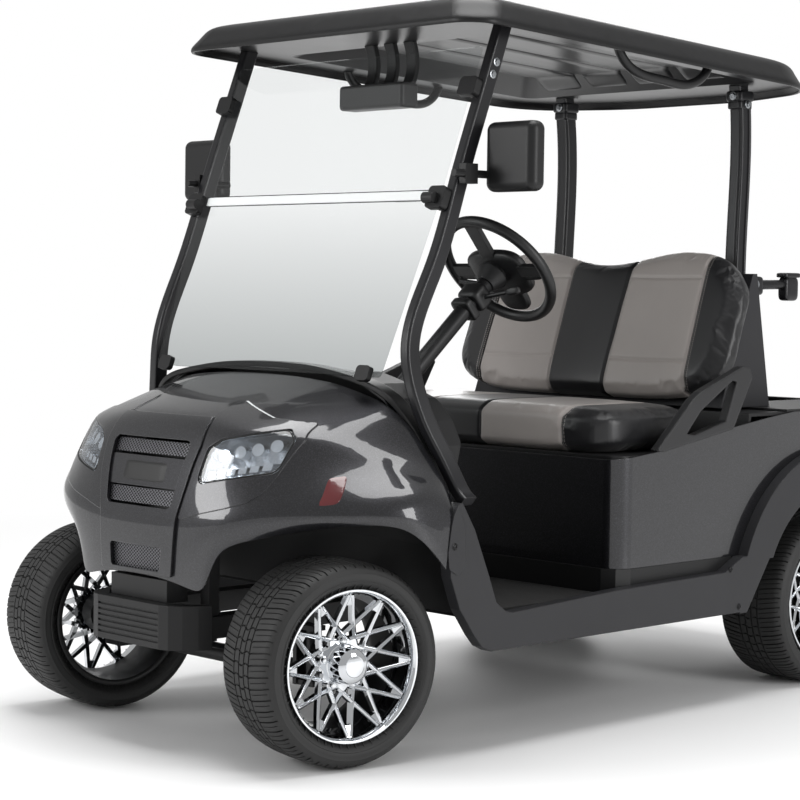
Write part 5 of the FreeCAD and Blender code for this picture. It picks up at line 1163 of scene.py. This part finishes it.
class GOLFCART_OT_seats(bpy.types.Operator):
    """Build the sewn cushion and backrest"""
    bl_idname = "golfcart.seats"
    bl_label = "Seats"

    def execute(self, context):
        sizes = context.scene.golfcart_seats
        make_cushion(sizes.seam_depth, sizes.swell)
        make_backrest(sizes.seam_depth, sizes.swell)
        return {"FINISHED"}


class GOLFCART_OT_lamp_trim(bpy.types.Operator):
    """Build the lamp rims, side markers and the blank nose plate"""
    bl_idname = "golfcart.lamp_trim"
    bl_label = "Lamp trim"

    def execute(self, context):
        make_lamp_trim()
        return {"FINISHED"}


class GOLFCART_OT_roof_fittings(bpy.types.Operator):
    """Build the liner's panels, the strut flanges and their brackets"""
    bl_idname = "golfcart.roof_fittings"
    bl_label = "Roof and strut fittings"

    def execute(self, context):
        make_liner_panels()
        make_strut_fittings()
        return {"FINISHED"}


class GOLFCART_OT_body_fittings(bpy.types.Operator):
    """Build the mirror glass, steering pad, column switch, pane seam, screws and bag bar clamps"""
    bl_idname = "golfcart.body_fittings"
    bl_label = "Cabin and body fittings"

    def execute(self, context):
        make_mirror_glass()
        make_steering_pad()
        make_column_switch()
        make_pane_seam()
        make_body_screws()
        make_bag_bar_clamps()
        return {"FINISHED"}


class GOLFCART_OT_stage(bpy.types.Operator):
    """Set up the camera, the floor, the world and the lamps"""
    bl_idname = "golfcart.stage"
    bl_label = "Stage"

    def execute(self, context):
        levels = context.scene.golfcart_lights
        aim_camera()
        white_floor()
        light_stage(levels.dome, levels.overhead)
        context.scene.view_settings.view_transform = "Standard"
        return {"FINISHED"}


class GOLFCART_PT_panel(bpy.types.Panel):
    """The cart's steps and settings"""
    bl_label = "Golf Cart"
    bl_idname = "GOLFCART_PT_panel"
    bl_space_type = "VIEW_3D"
    bl_region_type = "UI"
    bl_category = "Golf Cart"

    def draw(self, context):
        for group in (context.scene.golfcart_colours, context.scene.golfcart_seats, context.scene.golfcart_lights):
            box = self.layout.box()
            for name in type(group).__annotations__:
                box.prop(group, name)
        for item in OPERATORS:
            self.layout.operator(item.bl_idname)


GROUPS = {"golfcart_colours": GOLFCART_PG_colours, "golfcart_seats": GOLFCART_PG_seats,
          "golfcart_lights": GOLFCART_PG_lights}
OPERATORS = [GOLFCART_OT_finishes, GOLFCART_OT_wheels, GOLFCART_OT_seats, GOLFCART_OT_lamp_trim,
             GOLFCART_OT_roof_fittings, GOLFCART_OT_body_fittings, GOLFCART_OT_stage]
CLASSES = [*GROUPS.values(), *OPERATORS, GOLFCART_PT_panel]


def register():
    """Make the classes known and give each scene its settings."""
    for item in CLASSES:
        bpy.utils.register_class(item)
    for name, group in GROUPS.items():
        setattr(bpy.types.Scene, name, bpy.props.PointerProperty(type=group))


def unregister():
    """Take the settings and the classes away."""
    for name in GROUPS:
        delattr(bpy.types.Scene, name)
    for item in reversed(CLASSES):
        bpy.utils.unregister_class(item)


def main():
    """Build everything in order."""
    register()
    bpy.ops.golfcart.finishes()
    bpy.ops.golfcart.wheels()
    bpy.ops.golfcart.seats()
    bpy.ops.golfcart.lamp_trim()
    bpy.ops.golfcart.roof_fittings()
    bpy.ops.golfcart.body_fittings()
    bpy.ops.golfcart.stage()


if __name__ == "__main__":
    main()
